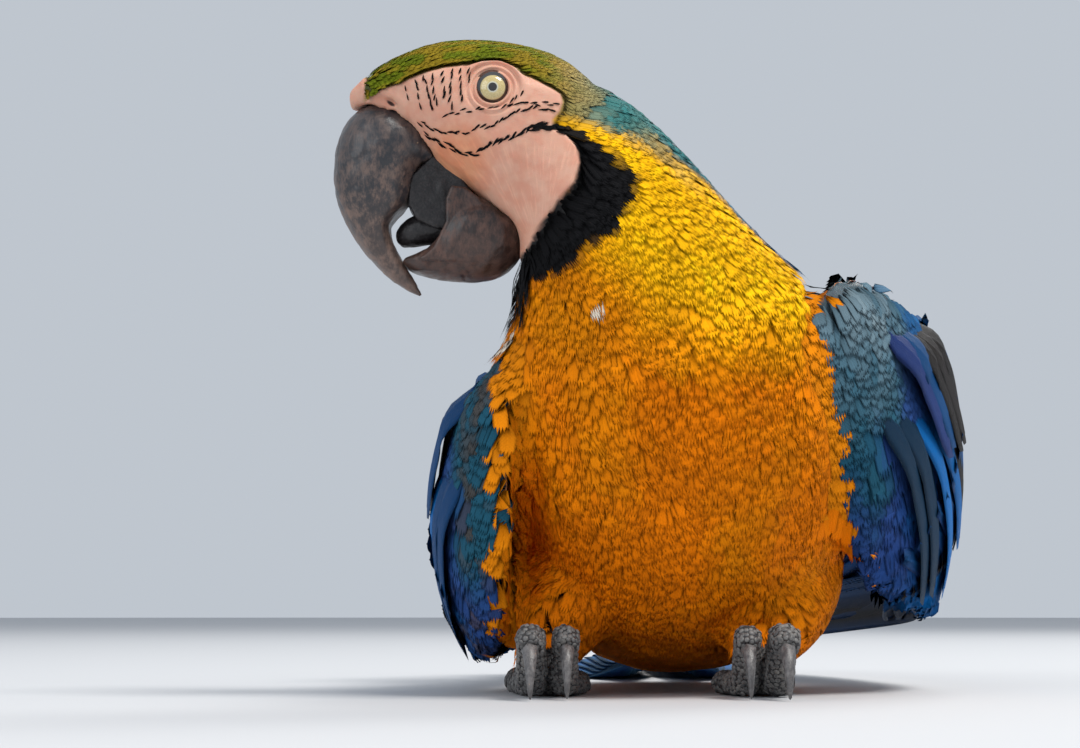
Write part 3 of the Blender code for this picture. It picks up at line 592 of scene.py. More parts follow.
class Finish:
    """A material made from formulas."""

    def __init__(self, name, **constants):
        self.material = bpy.data.materials.new(name)
        self.material.use_nodes = True
        self.tree = self.material.node_tree
        self.shader = self.tree.nodes["Principled BSDF"]
        for socket, value in constants.items():
            self.shader.inputs[socket.replace("_", " ")].default_value = value

    def node(self, kind, settings=None, output=0, **inputs):
        """Any shader node."""
        return node_in(self.tree, "ShaderNode" + kind, settings, output, **inputs)

    def place(self):
        """Object coordinates."""
        return self.node("TexCoord", output=3)

    def parts(self, vector):
        """The three numbers of a vector."""
        node = self.node("SeparateXYZ", i0=vector).socket.node
        return [Wire(self.tree, socket) for socket in node.outputs]

    def joined(self, x, y, z):
        """A vector of three numbers."""
        return self.node("CombineXYZ", X=x, Y=y, Z=z)

    def noise(self, size, detail=3.0, rough=0.55, place=None, stretch=None):
        """Noise from 0 to 1 with lumps of about one size in metres."""
        place = place or self.place()
        if stretch:
            place = self.node("Mapping", Vector=place, Scale=stretch)
        return self.node("TexNoise", Vector=place, Scale=1.0 / size, Detail=detail, Roughness=rough)

    def mix(self, share, under, over, blend="MIX"):
        """One colour painted over another."""
        under, over = (c if isinstance(c, Wire) else (*c, 1.0) for c in (under, over))
        return self.node("Mix", {"data_type": "RGBA", "blend_type": blend}, 2, i0=share, i6=under, i7=over)

    def attribute(self, name, output=0):
        """A value kept on the mesh."""
        return self.node("Attribute", {"attribute_name": name}, output)

    def paint(self, colour, roughness=None, height=None, depth=0.2 * MM, strength=1.0, **normal):
        """Feeds what varies into the shader; height becomes a bump on the Normal, if one is given."""
        if height is not None:
            normal["Normal"] = self.node("Bump", Strength=strength, Distance=depth, Height=height, **normal)
        if roughness is not None:
            normal["Roughness"] = roughness
        for socket, value in {"Base Color": colour, **normal}.items():
            plug(self.tree, self.shader.inputs[socket], value)
        return self.material


# %% [markdown]
# A small feather is one thin closed leaf: a narrow root, a round middle, and a tip frayed into
# a few points. Copies of one flat leaf would stand off the body like shingles, so each feather's
# middle line first walks over the skin in short steps, and the leaf is then bent along that walk.

# %% A frayed leaf, and walks over a surface
LEAF_ROWS = (0.0, 0.40, 0.74)
LEAF_WIDTHS = (0.25, 0.90, 0.88)
LEAF_COLUMNS = np.linspace(-1.0, 1.0, 6)
TIP_WIDTH = 0.92


def leaf_pattern():
    """Along, across and lift of a frayed leaf's points, its triangles, and where its tips start."""
    rows, columns = len(LEAF_ROWS), len(LEAF_COLUMNS)
    along = [s for s in LEAF_ROWS for _ in LEAF_COLUMNS] + [1.0] * (columns - 1)
    tips = (LEAF_COLUMNS[:-1] + LEAF_COLUMNS[1:]) / 2
    across = [t * w for w in LEAF_WIDTHS for t in LEAF_COLUMNS] + list(tips * TIP_WIDTH)
    lift = [0.0] * len(along)
    under = list(range(len(along)))
    for place in [row * columns + column for row in range(1, rows) for column in range(1, columns - 1)]:
        lift[place], under[place] = 1.0, len(along)
        along.append(along[place])
        across.append(across[place])
        lift.append(-1.0)
    top = []
    for a in [row * columns + column for row in range(rows - 1) for column in range(columns - 1)]:
        top += [(a, a + 1, a + columns + 1), (a, a + columns + 1, a + columns)]
    last, tip = (rows - 1) * columns, rows * columns
    top += [(last + column, last + column + 1, tip + column) for column in range(columns - 1)]
    faces = top + [tuple(under[c] for c in face[::-1]) for face in top]
    for column in range(1, columns - 1):
        a = last + column
        faces += [(a, tip + column, under[a]), (a, under[a], tip + column - 1)]
    return np.array(along), np.array(across), np.array(lift), np.array(faces), tip


LEAF = leaf_pattern()
print("a small feather has", len(LEAF[0]), "points and", len(LEAF[3]), "triangles")


def walk(tree, roots, normals, ways, lengths, steps=4):
    """Middle lines over a surface: points, outward directions and runs, for every feather."""
    points, outs, runs = [roots], [normals], [ways]
    for _ in range(steps):
        ahead = points[-1] + runs[-1] * (lengths / steps)[:, None]
        hits = [tree.find_nearest(Vector(target)) for target in ahead]
        found, facing = np.array([hit[0] for hit in hits]), np.array([hit[1] for hit in hits])
        outs.append(unit(0.6 * facing + 0.4 * outs[-1]))
        runs.append(laid_flat(unit(found - points[-1]), outs[-1]))
        points.append(found)
    return np.stack(points, 1), np.stack(outs, 1), np.stack(runs, 1)


def between_rows(values, along):
    """Values of the walks at one share of their length."""
    steps = values.shape[1] - 1
    place = np.clip(along, 0.0, 1.0) * steps
    index = np.minimum(place.astype(int), steps - 1)
    part = (place - index)[..., None]
    rows = np.arange(len(values))[:, None]
    return values[rows, index] * (1 - part) + values[rows, index + 1] * part


# %% Pieces of coat
PATCH = 0.003
FLOOR_ROOM = 0.3 * MM


def keep_on_mesh(mesh, name, values):
    """Keeps a colour (tint) or a direction (lie) for every point of a mesh."""
    colour = name == "tint"
    if colour:
        values = np.column_stack((values, np.ones(len(values))))
    kept = mesh.attributes.new(name, "FLOAT_COLOR" if colour else "FLOAT_VECTOR", "POINT")
    kept.data.foreach_set("color" if colour else "vector", values.astype(np.float32).ravel())


def coat_piece(name, points, faces, tint, lie, patch, vane):
    """A piece of feathers, with the colour, lie and flat places that its finish needs."""
    mesh = mesh_from(name, points, faces)
    keep_on_mesh(mesh, "tint", tint)
    keep_on_mesh(mesh, "lie", lie)
    corners = read(mesh.loops, "vertex_index", 1, np.int32)[:, 0]
    for key, flat in (("OFBake", patch), ("vane", vane)):
        mesh.uv_layers.new(name=key).data.foreach_set("uv", flat[corners].astype(np.float32).ravel())
    print(name, len(mesh.polygons), "triangles")
    return piece_from(name, mesh)


def small_feathers(name, roots, normals, ways, length, width, rise, seed, colour_at, patch_at,
                   fray=0.11, curl=0.01, vary=0.006, roll_most=0.008):
    """A coat piece of many small frayed leaves laid over the skin from their roots along their ways."""
    chance = np.random.default_rng(seed)
    count = len(roots)
    length = length * (1 + 0.16 * chance.uniform(-1, 1, count))
    width = (np.broadcast_to(width, count) * (1 + 0.14 * chance.uniform(-1, 1, count)) / 2)[:, None]
    differs = 1 + vary * chance.uniform(-1, 1, count)
    points, outs, runs = walk(skin_tree, roots, normals, ways, length)
    along, across, lift, faces, tip_start = LEAF
    along = np.tile(along, (count, 1))
    tips = slice(tip_start, tip_start + len(LEAF_COLUMNS) - 1)
    along[:, tips] += (fray * chance.uniform(-1.0, 0.6, along[:, tips].shape)
                       - 0.26 * np.abs(across[tips]) ** 2)
    middle_line = between_rows(points, along)
    out, run = unit(between_rows(outs, along)), unit(between_rows(runs, along))
    rolled = roll_most * chance.uniform(-1, 1, count)[:, None]
    level = rise(middle_line.reshape(-1, 3)).reshape(along.shape) if callable(rise) else rise[:, None]
    high = level * differs[:, None] * (0.05 + 0.95 * (1.0 - (1.0 - np.clip(along, 0, 1)) ** 2.5))
    high = high - curl * (across ** 2) * width + 0.02 * MM * lift + rolled * across * width
    places = middle_line + np.cross(out, run) * (across * width)[..., None] + out * high[..., None]
    places = places + run * (np.maximum(along - 1.0, 0.0) * length[:, None])[..., None]
    places[..., 2] = np.maximum(places[..., 2], FLOOR_ROOM)
    offset = (np.arange(count) * places.shape[1])[:, None, None]
    shade = colour_at(between_rows(points, np.full((count, 1), 0.85))[:, 0])
    vane = np.stack((np.broadcast_to(across * 0.5 + 0.5, along.shape), np.clip(along, 0, 1)), axis=-1)
    patch = patch_at(roots)[:, None] + PATCH * (vane - 0.5)
    return coat_piece(name, places.reshape(-1, 3), (faces[None] + offset).reshape(-1, 3),
                      np.repeat(shade, places.shape[1], axis=0), out.reshape(-1, 3),
                      patch.reshape(-1, 2), vane.reshape(-1, 2))


# %% Scattering roots over the skin
TRIES = 7             # random places tried for each square of one spacing
CROWDING = 0.61504    # the least distance between two roots, squared, for a spacing of one


def scatter(spacing, wanted, seed):
    """Roots about one spacing apart over the wanted faces of the skin: places and normals."""
    chance = np.random.default_rng(seed)
    corners = skin_points[skin_faces]
    flat = np.cross(corners[:, 1] - corners[:, 0], corners[:, 2] - corners[:, 0])
    area = np.where(wanted, np.linalg.norm(flat, axis=1) / 2, 0.0)
    count = int(TRIES * area.sum() / spacing ** 2)
    face = chance.choice(len(skin_faces), count, p=area / area.sum())
    a, b = chance.random(count), chance.random(count)
    over = a + b > 1
    a[over], b[over] = 1 - a[over], 1 - b[over]
    first, second, third = (corners[face, corner] for corner in range(3))
    places = first + a[:, None] * (second - first) + b[:, None] * (third - first)
    kept, cells = [], {}
    least = CROWDING * spacing ** 2
    around = [(i, j, k) for i in (-1, 0, 1) for j in (-1, 0, 1) for k in (-1, 0, 1)]
    for index, (x, y, z) in enumerate(np.floor(places / spacing).astype(int).tolist()):
        near = [n for i, j, k in around for n in cells.get((x + i, y + j, z + k), ())]
        if all(((places[n] - places[index]) ** 2).sum() > least for n in near):
            kept.append(index)
            cells.setdefault((x, y, z), []).append(index)
    return places[kept], unit(flat[face[kept]])


# %% [markdown]
# Each part of the body has its own feathers, from two millimetres long behind the bill to three
# centimetres on the wing. So the skin's faces are first sorted by the solid that they lie nearest,
# and each region is then sown, combed and coloured on its own.

# %% Sort the skin by region
REGIONS = {"head": ["head", "cere"], "neck": ["neck"], "breast": ["breast"], "belly": ["belly", "rump"],
           "thigh": named("thigh"), "foot": named("toe", "tarsus"),
           "wing_left": ["wing_left_arm"], "wing_right": ["wing_right_arm"]}
# Each wing's wrist lies over the side of the breast, up to a line that leans outward as it falls:
# its place from the middle at the wrist's height, how far it leans, and how far the breast laps it.
WRIST_TOP = 143.0 * MM
WRIST_EDGE = {"left": (45.2 * MM, 0.21, 10.0 * MM), "right": (50.0 * MM, 0.04, 4.0 * MM)}
SHOULDER_END = {"left": 62.0 * MM, "right": 40.0 * MM}


def past_edge(points, name, lap=0.0):
    """How far points lie on the wing's side of its front edge."""
    edge, lean, lapped = WRIST_EDGE[name]
    fall = WRIST_TOP - points[:, 2]
    return points[:, 0] * SIDES[name] - edge - lean * fall + lap * lapped * ease(points[:, 2], 0.06, 0.12)


face_middles = skin_points[skin_faces].mean(axis=1)
gaps = np.stack([distances(joined_tree(nodes), face_middles) for nodes in REGIONS.values()])
for row in (2, 3):
    gaps[row] += 3.5 * MM * soft_noise(face_middles, 0.006, 13 + row)
region = np.array(list(REGIONS))[gaps.argmin(axis=0)]
skin_out = normals_of(skin_points, skin_faces)
face_out = unit(skin_out[skin_faces].mean(axis=1))
for name, side in SIDES.items():
    inboard = (region == f"wing_{name}") & (face_middles[:, 0] * side < SHOULDER_END[name])
    region[inboard & (face_middles[:, 1] > -0.27) & (face_out[:, 2] > 0.2)] = "breast"
    shoulder = (np.isin(region, ("breast", "belly"))
                & (face_middles[:, 1] < -0.20) & (face_middles[:, 2] > 0.035))
    region[shoulder & (past_edge(face_middles, name, 1.0) > 0)] = f"wing_{name}"
print({name: int((region == name).sum()) for name in REGIONS})


# %% Combing, unrolling and shades
def swayed(run, roots, normals, sway, seed):
    """Directions laid flat on the skin and turned a little, alike in near places."""
    run = laid_flat(run, normals)
    turn = sway * (1.2 * soft_noise(roots, 0.011, seed + 40) + 0.5 * soft_noise(roots, 0.003, seed + 41))
    return unit(run + np.cross(normals, run) * turn[:, None])


def combed(roots, normals, sway, seed, fall):
    """The lie of feathers at their roots: along the line, a little wayward, or falling, as beside the wings."""
    beside_wing = np.maximum(*(ease(past_edge(roots, name), -20 * MM, -4 * MM) for name in SIDES))
    beside_wing *= ease(roots[:, 1], -0.17, -0.21) * ease(roots[:, 2], 0.17, 0.14)
    run = LINE_RUN[on_line(roots)] + np.array((0.0, 0.0, -1.0)) * (fall + 1.6 * beside_wing)[:, None]
    return swayed(unit(run), roots, normals, sway, seed)


def trunk_patch(roots):
    """Where a root lies when trunk, neck and head are unrolled round the line."""
    found = on_line(roots)
    out, backs = unit(roots - LINE_POINTS[found]), LINE_BACKS[found]
    beside = np.cross(LINE_RUN[found], backs)
    angle = np.arctan2((out * beside).sum(axis=1), (out * backs).sum(axis=1))
    return np.column_stack((0.5 + angle / math.tau * 0.98, 0.01 + 0.98 * LINE_STEPS[found] / (len(LINE) - 1)))


def shimmered(colour, points, seed):
    """Colours that vary a little from feather to feather and from clump to clump."""
    chance = np.random.default_rng(seed)
    change = 1 + 0.12 * chance.uniform(-1, 1, len(points)) + 0.10 * soft_noise(points, 0.010, seed)
    return np.clip(colour * change[:, None], 0.0, 1.0)


# White down shows in the crease by the right wing and in two parted places: where, and how wide.
DOWN_WHITE = np.array((0.78, 0.74, 0.62))
DOWN_SPOTS = (((-0.056, 0.127), 6 * MM), ((-0.055, 0.119), 6 * MM), ((-0.053, 0.110), 6 * MM),
              ((-0.024, 0.129), 2.5 * MM), ((0.016, 0.124), 2.2 * MM))


def with_down(colour, points, seed):
    """Colours with single white feathers in the places where down shows."""
    chance = np.random.default_rng(90 + seed).random(len(points))
    share = np.zeros(len(points))
    for place, wide in DOWN_SPOTS:
        away = np.linalg.norm(points[:, ::2] - np.array(place), axis=1)
        share = np.maximum(share, ease(away, wide, 0.5 * wide))
    share *= points[:, 1] < -0.20
    return layer(colour, DOWN_WHITE, 0.85 * (chance < 0.55 * share))


def coat_rise(points):
    """How high the coat stands over the skin: one field, so that neighbouring tips are level."""
    step = LINE_STEPS[on_line(points)]
    folds = soft_noise(points, 0.014, 60, (1.0, 1.0, 0.45))
    return (1.6 + 3.0 * ease(step, 1.3, 2.0) + 0.3 * ease(step, 2.0, 3.0)) * MM * (1 + 0.10 * folds)


# %% Sow trunk, neck and head
# Each region: spacing, a feather's length and width in millimetres, how wayward it is, and its fall.
SOWN = {"crown": ("head", 1.20, 5.8, 1.8, 0.22, 0.0), "neck": ("neck", 2.05, 13.0, 4.2, 0.26, 0.0),
        "breast": ("breast", 2.65, 17.0, 5.6, 0.32, 0.0), "belly": ("belly", 3.10, 19.0, 6.6, 0.32, 0.0),
        "thigh": ("thigh", 2.40, 14.0, 5.0, 0.32, 0.9)}
inside_face = face_inside(face_middles)
coat = {}
for number, (name, (part, spacing, length, width, sway, fall)) in enumerate(SOWN.items()):
    wanted = (region == part) & (inside_face < (-0.4 * MM if part in ("head", "neck") else 1.0))
    roots, normals = scatter(spacing * MM, wanted, 10 + number)
    name += "_feathers"
    coat[name] = small_feathers(
        name, roots, normals, combed(roots, normals, sway, number, fall), length * MM, width * MM, coat_rise,
        30 + number, lambda tip: shimmered(with_down(body_marking(tip, False), tip, number), tip, 70 + number),
        trunk_patch)

# %% [markdown]
# The bare face carries rows of tiny black feathers, as fine as eyelashes: short upright rows before
# the eye, and three long lines that run back under it and join the black bib. They are laid like
# the others, but their roots stand on lines that are drawn over the cheek, on both sides alike.

# %% Black rows on the face and the fringe of the bib
# Each row: its line from the eye, back and up in millimetres, the spacing, a feather's length and
# width, how far it turns from the line in degrees, and how far feathers stray from the line.
FACE_ROWS = (
    (((-30.6, 3.2), (-29.2, -3.4)), 2.3, 2.6, 0.6, 10, 0.25),
    (((-27.4, 4.8), (-24.8, -6.0)), 2.3, 3.0, 0.7, 8, 0.25),
    (((-24.0, 6.4), (-20.6, -7.4)), 2.2, 3.2, 0.8, 6, 0.25),
    (((-20.6, 6.8), (-19.4, -5.6)), 2.4, 3.1, 0.7, -8, 0.3),
    (((-17.2, 7.4), (-16.0, -3.4)), 2.2, 3.2, 0.8, -14, 0.3),
    (((-14.0, 7.8), (-14.2, -6.0)), 2.2, 3.4, 0.8, -14, 0.3),
    (((-10.8, 8.0), (-10.6, -4.8)), 2.2, 3.2, 0.8, -14, 0.3),
    (((-7.8, 8.2), (-8.0, 1.6)), 2.1, 3.0, 0.7, -6, 0.2),
    (((-17.5, -9.4), (-10.1, -8.2), (-3.9, -7.9), (4.1, -6.8), (8.8, -3.4), (10.6, -0.6)), 2.1, 2.7, 0.7, 12, 0.6),
    (((4.5, -7.0), (10.0, -5.6), (15.2, -5.4), (22.4, -5.8)), 2.0, 2.8, 0.7, -8, 0.6),
    (((-26.7, -9.6), (-18.7, -13.5), (-10.1, -15.1), (-4.5, -14.4), (1.0, -12.9), (5.9, -10.2), (15.2, -7.4),
      (20.5, -8.4)), 1.65, 2.9, 0.75, 12, 0.6),
    (((-24.3, -13.2), (-15.0, -19.3), (-10.1, -21.6), (-6.4, -22.4), (-0.8, -20.2), (8.4, -17.0), (13.0, -14.6)),
     1.20, 3.7, 0.8, 20, 0.6),
    (((11.5, -14.6), (15.2, -13.9), (20.8, -14.2), (25.6, -16.2), (29.0, -20.2)), 0.42, 4.6, 1.0, 6, 0.9))


def row_roots(line, spacing, turn, stray, chance):
    """Flat roots along one row and the flat way of each feather."""
    path = along_line(np.array(line) * MM, np.linspace(0.0, len(line) - 1.0, 200))
    run = np.concatenate(([0.0], np.cumsum(np.linalg.norm(np.diff(path, axis=0), axis=1))))
    count = max(int(run[-1] / (spacing * MM)), 2)
    at = (np.arange(count) + 0.3 * chance.uniform(-1, 1, count)) * run[-1] / count
    flat, way = (np.stack([np.interp(at, run, values[:, axis]) for axis in range(2)], 1)
                 for values in (path, np.gradient(path, axis=0)))
    way = unit(way)
    angle = np.radians(turn + 15 * chance.uniform(-1, 1, count))
    beside = np.column_stack((-way[:, 1], way[:, 0]))
    flat = flat + beside * (stray * MM * chance.uniform(-1, 1, count))[:, None]
    return flat, way * np.cos(angle)[:, None] + beside * np.sin(angle)[:, None]


def on_face(flat, side):
    """The places and normals on the skin for flat places on one side of the head."""
    inward = Vector((0.0, -side, 0.0))
    hits = [skin_tree.ray_cast(Vector((EYE[0] + back, FACE_MID + side * 0.06, EYE[2] + up)), inward)
            for back, up in flat]
    return np.array([hit[0] for hit in hits]), np.array([hit[1] for hit in hits])


chance = np.random.default_rng(77)
fringe = []
for side in (-1.0, 1.0):
    for line, spacing, length, width, turn, stray in FACE_ROWS:
        flat, way = row_roots(line, spacing, turn, stray, chance)
        places, normals = on_face(flat, side)
        ways = laid_flat(np.column_stack((way[:, 0], np.zeros(len(way)), way[:, 1])), normals)
        sizes = np.tile((length * MM, width * MM), (len(flat), 1))
        fringe.append(np.column_stack((places, normals, ways, sizes)))
places, normals, ways, sizes = np.split(np.concatenate(fringe), (3, 6, 9), axis=1)
coat["face_feathers"] = small_feathers(
    "face_feathers", places, normals, ways, sizes[:, 0], sizes[:, 1], np.full(len(places), 0.35 * MM), 78,
    lambda tip: np.tile(BLACK, (len(tip), 1)), trunk_patch, fray=0.05)

# Longer black feathers hang from the chin, where the bib starts under the lower bill.
back, up = face_place(face_middles).T
chin = (np.isin(region, ("neck", "head")) & (inside_face < 0)
        & (back < 14 * MM) & (up < -54 * MM) & (up > -70 * MM))
roots, normals = scatter(2.4 * MM, chin, 79)
ways = swayed(np.tile((0.10, -0.05, -1.0), (len(roots), 1)), roots, normals, 0.35, 79)
coat["chin_feathers"] = small_feathers(
    "chin_feathers", roots, normals, ways, 15.0 * MM, 2.2 * MM, np.full(len(roots), 6.2 * MM), 80,
    lambda tip: shimmered(np.tile(BLACK * 1.3, (len(tip), 1)), tip, 81), trunk_patch, fray=0.30)

# %% [markdown]
# The small coverts of the wings lie the same way, but they follow the wing from its wrist back.
# Outside they go from teal at the wrist, greyed on the left wing by painted sunlight, to violet blue, inside they
# are golden.

# %% Places and colours on a wing
WRIST_TEAL, SUNLIT_GREY, VIOLET, SKY_BLUE, NAVY, SLATE, GOLD, UMBER = np.array((
    (0.014, 0.085, 0.135), (0.300, 0.370, 0.400), (0.022, 0.055, 0.235), (0.002, 0.150, 0.480),
    (0.004, 0.030, 0.070), (0.016, 0.013, 0.012), (0.78, 0.23, 0.003), (0.075, 0.050, 0.032)))


def wing_share(points, name):
    """Where a point lies on a wing: 0 to 1 from wrist to the arm's end, 0 to 1 from low to high."""
    low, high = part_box(f"wing_{name}_arm")
    return (points[:, 1] - low[1]) / (high[1] - low[1]), (points[:, 2] - low[2]) / (high[2] - low[2])


def wing_patch(roots):
    """Where a root lies when a wing is laid open."""
    flat = np.empty((len(roots), 2))
    for name, side in SIDES.items():
        mine = (roots[:, 0] > 0) == (side > 0)
        back, up = wing_share(roots[mine], name)
        flat[mine] = np.column_stack((0.02 + 0.45 * back, 0.02 + 0.96 * up))
    return flat


def wing_marking(points, name):
    """Ground colour of a wing's outer side; the left wing's wrist is greyed as a painted sunlit highlight, the
    right one's edge is worn.
    """
    back, up = wing_share(points, name)
    left = name == "left"
    wander, fine = soft_noise(points, 0.012, 9), soft_noise(points, 0.005, 10)
    colour = layer(WRIST_TEAL, NAVY, (0.5 + 0.3 * wander) * ease(up, 0.60, 0.20) * left)
    # Painted highlight: the upper front of the left wing, its sunlit side, is greyed.
    grey = ease(up + 0.05 * wander, 0.45, 0.95) * ease(back, 0.34, 0.12) * (0.42 + 0.30 * fine) * left
    colour = layer(colour, SUNLIT_GREY, grey)
    colour = layer(colour, VIOLET,
                   0.8 * ease(back + 0.06 * wander - 0.18 * up, 0.02, 0.12) * ease(up, 0.9, 0.7))
    colour = layer(colour, BLUE, ease(back + 0.10 * wander, 0.22, 0.40))
    colour = layer(colour, SKY_BLUE, 0.6 * ease(wander, 0.1, 0.6) * ease(back, 0.2, 0.5))
    worn = roll(past_edge(points, name), 14 * MM, 6 * MM) * ease(fine, 0.0, 0.4)
    colour = layer(colour, UMBER, 0.75 * worn * (not left))
    return layer(colour, TEAL, 0.5 * ease(up, 0.80, 0.98) * ease(back, 0.3, 0.5))


def wing_lie(roots, name):
    """Coverts hang down from the wrist and turn backward along the arm and over its low edge."""
    back, up = wing_share(roots, name)
    turn = np.maximum(ease(back, 0.0, 0.9), 1.4 * ease(up, 0.16, 0.02))
    return unit(np.column_stack((np.zeros(len(roots)), 0.50 + 0.50 * turn, -0.85 + 0.55 * turn)))


# %% Sow the wings' small coverts
# Rows of small coverts: the spacing, a feather's length and width, and its rise in millimetres.
# Below the wrist and inland of the golden edge, the outer coverts are larger and smoother.
COVERT_ROWS = {"coverts": (3.1, 12.0, 6.4, 3.4), "lining": (3.4, 12.0, 6.0, 2.2)}
LARGER, LARGER_BELOW = (5.2, 25.0, 10.5), 0.60
# How far the golden lining shows round the front edge of each wing, low down and at the wrist, and
# how low it reaches.
GOLD_EDGE = {"left": (1.0 * MM, 1.0 * MM, 45 * MM), "right": (7.5 * MM, 1.5 * MM, 24 * MM)}


def covert_faces(name, side):
    """The skin's faces that the two rows of one wing cover, each with a size of feather."""
    low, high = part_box(f"wing_{name}_arm")
    back, up = wing_share(face_middles, name)
    mine = (region == f"wing_{name}") & (face_out[:, 1] < 0.75) & (face_middles[:, 2] > low[2] + 10 * MM)
    outer = mine & ((face_out[:, 0] * side > -0.10) | (face_out[:, 2] > 0.35))
    lining = mine & ~outer & (back < 0.90) & (face_middles[:, 2] < high[2] - 10 * MM)
    upper = up + 0.05 * soft_noise(face_middles, 0.012, 12) > LARGER_BELOW
    inland = past_edge(face_middles, name) > GOLD_EDGE[name][0] + 7 * MM
    small = COVERT_ROWS["coverts"][:3]
    return {"coverts": ((outer & upper, small), (outer & ~upper & ~inland, small),
                        (outer & ~upper & inland, LARGER)),
            "lining": ((lining, COVERT_ROWS["lining"][:3]),)}


def sow_coverts(name, side, label, sowings, seed):
    """One row of small coverts on one wing, blue outside, gold inside and round the front edge."""
    sown = [(*scatter(size[0] * MM, faces, seed), size) for faces, size in sowings]
    roots, normals = (np.concatenate([row[place] for row in sown]) for place in range(2))
    lengths, widths = (np.concatenate([np.full(len(row[0]), row[2][place] * MM) for row in sown])
                       for place in (1, 2))
    ways = swayed(wing_lie(roots, name), roots, normals, 0.16, seed)
    wide_low, wide_high, lowest = GOLD_EDGE[name]
    past = past_edge(roots, name) + 1.4 * MM * soft_noise(roots, 0.006, seed)
    gold = (past < wide_low + (wide_high - wide_low) * ease(roots[:, 2], 0.095, 0.130)) & (normals[:, 1] < 0.6)
    if label == "lining":
        gold = (roots[:, 1] < -0.16) & (normals[:, 2] < 0.4)
    gold = 1.0 * (gold & (roots[:, 2] > lowest))
    above_end = roots[:, 2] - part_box(f"wing_{name}_arm")[0][2]
    on_top = ease(normals[:, 2], 0.3, 0.8)
    lengths = np.minimum(lengths, np.maximum(0.95 * above_end, 6 * MM)) * (1 - 0.50 * on_top)
    rises = COVERT_ROWS[label][3] * MM * (1 - 0.72 * on_top)
    return small_feathers(f"wing_{name}_{label}", roots, normals, ways, lengths, widths, rises, seed + 5,
                          lambda tip: shimmered(layer(wing_marking(tip, name), GOLD, gold), tip, seed),
                          wing_patch, fray=0.05, curl=0.02, vary=0.02, roll_most=0.025)


for number, (name, side) in enumerate(SIDES.items()):
    for row, (label, sowings) in enumerate(covert_faces(name, side).items()):
        coat[f"wing_{name}_{label}"] = sow_coverts(name, side, label, sowings, 100 + 10 * number + row)

# %% [markdown]
# Quills are larger: a shaft with a vane on each side, the outer one narrower, closed top and under.
# Each one is bent along its own line, and its rows are close enough for a smooth edge.

# %% A quill and a piece made of quills
QUILL_ACROSS = np.array((-1.0, -0.62, -0.12, 0.0, 0.12, 0.62, 1.0))
QUILL_LIFT = np.array((0.0, 0.5, 0.85, 1.9, 0.85, 0.5, 0.0))


def quill_outline(share, tip_round):
    """The vane's half width along the feather, from 0 to 1."""
    root = 0.30 + 0.70 * ease(share, 0.0, 0.16)
    return root * np.maximum(1.0 - np.clip((share - 1 + tip_round) / tip_round, 0, 1) ** 2.4, 0.0) ** 0.55


def quill(line, outs, half_in, half_out, thick, tip_round, rows=22, camber=0.10, roll_by=0.0):
    """Points, triangles, flat places and lie of one quill along a line; half_in and half_out are its vanes."""
    share = np.linspace(0.0, 1.0, rows)
    steps = np.linspace(0.0, len(line) - 1.0, rows)
    middle_line, out = along_line(line, steps), unit(along_line(outs, steps))
    run = unit(np.gradient(middle_line, axis=0))
    beside = unit(np.cross(out, run))
    out = np.cross(run, beside)
    across = np.maximum(quill_outline(share, tip_round), 0.03)[:, None] * QUILL_ACROSS
    across = across * np.where(QUILL_ACROSS < 0, half_in, half_out)
    slant = np.abs(QUILL_ACROSS) * (half_in + half_out) * 0.30 * ease(share, 0.0, 0.2)[:, None]
    drop = camber * np.abs(across) * np.abs(QUILL_ACROSS)
    fade = (1 - 0.6 * share)[:, None]
    lift = QUILL_LIFT * thick / 2
    flat_rows = middle_line[:, None] + beside[:, None] * across[..., None] + run[:, None] * slant[..., None]
    places = [flat_rows + out[:, None] * (height * fade - drop + roll_by * across)[..., None]
              for height in (lift, -np.minimum(lift, 0.6 * thick))]
    columns = len(QUILL_ACROSS)
    top = np.arange(rows * columns).reshape(rows, columns)
    under = top + rows * columns
    under[:, (0, -1)], under[(0, -1), :] = top[:, (0, -1)], top[(0, -1), :]
    faces = []
    for grid, turn in ((top, 1), (under, -1)):
        a, b, c, d = (part.ravel() for part in (grid[:-1, :-1], grid[:-1, 1:], grid[1:, 1:], grid[1:, :-1]))
        faces.append(np.concatenate((np.column_stack((a, b, c)), np.column_stack((a, c, d))))[:, ::turn])
    flat = np.stack(np.broadcast_arrays(QUILL_ACROSS * 0.5 + 0.5, share[:, None]), axis=-1)
    return (np.concatenate(places).reshape(-1, 3), np.concatenate(faces),
            np.tile(flat.reshape(-1, 2), (2, 1)), np.tile(out[:, None], (2, columns, 1)).reshape(-1, 3))


def quill_piece(name, quills, colours):
    """One piece of many quills; colours gives each its tint from its flat places and points."""
    columns = math.ceil(math.sqrt(len(quills)))
    tints, patches = [], []
    for index, (places, _, flat, _) in enumerate(quills):
        tints.append(colours(index, flat, places))
        corner = np.array((index % columns, index // columns)) / columns
        patches.append(corner + (0.04 + 0.92 * flat) / columns)
    points, faces = stacked([quill[:2] for quill in quills])
    vane, lie = (np.concatenate([quill[place] for quill in quills]) for place in (2, 3))
    return coat_piece(name, points, faces, np.concatenate(tints), lie, np.concatenate(patches), vane)


# %% Flight feathers and great coverts of each wing
# Each row of a wing: its solid for the tips, the count, where the roots start and end on the arm
# as shares of its length and height, the vanes' widths, how far the row lies off the arm, and how
# round its tips are.
WING_ROWS = (("primaries", 10, (0.30, 0.10), (0.42, 0.20), 6.0, 11.0, 1.2, 0.16),
             ("secondaries", 10, (0.22, 0.20), (0.48, 0.62), 8.0, 12.0, 2.2, 0.12),
             ("tertials", 5, (0.46, 0.68), (0.60, 0.94), 9.0, 12.0, 2.8, 0.12))
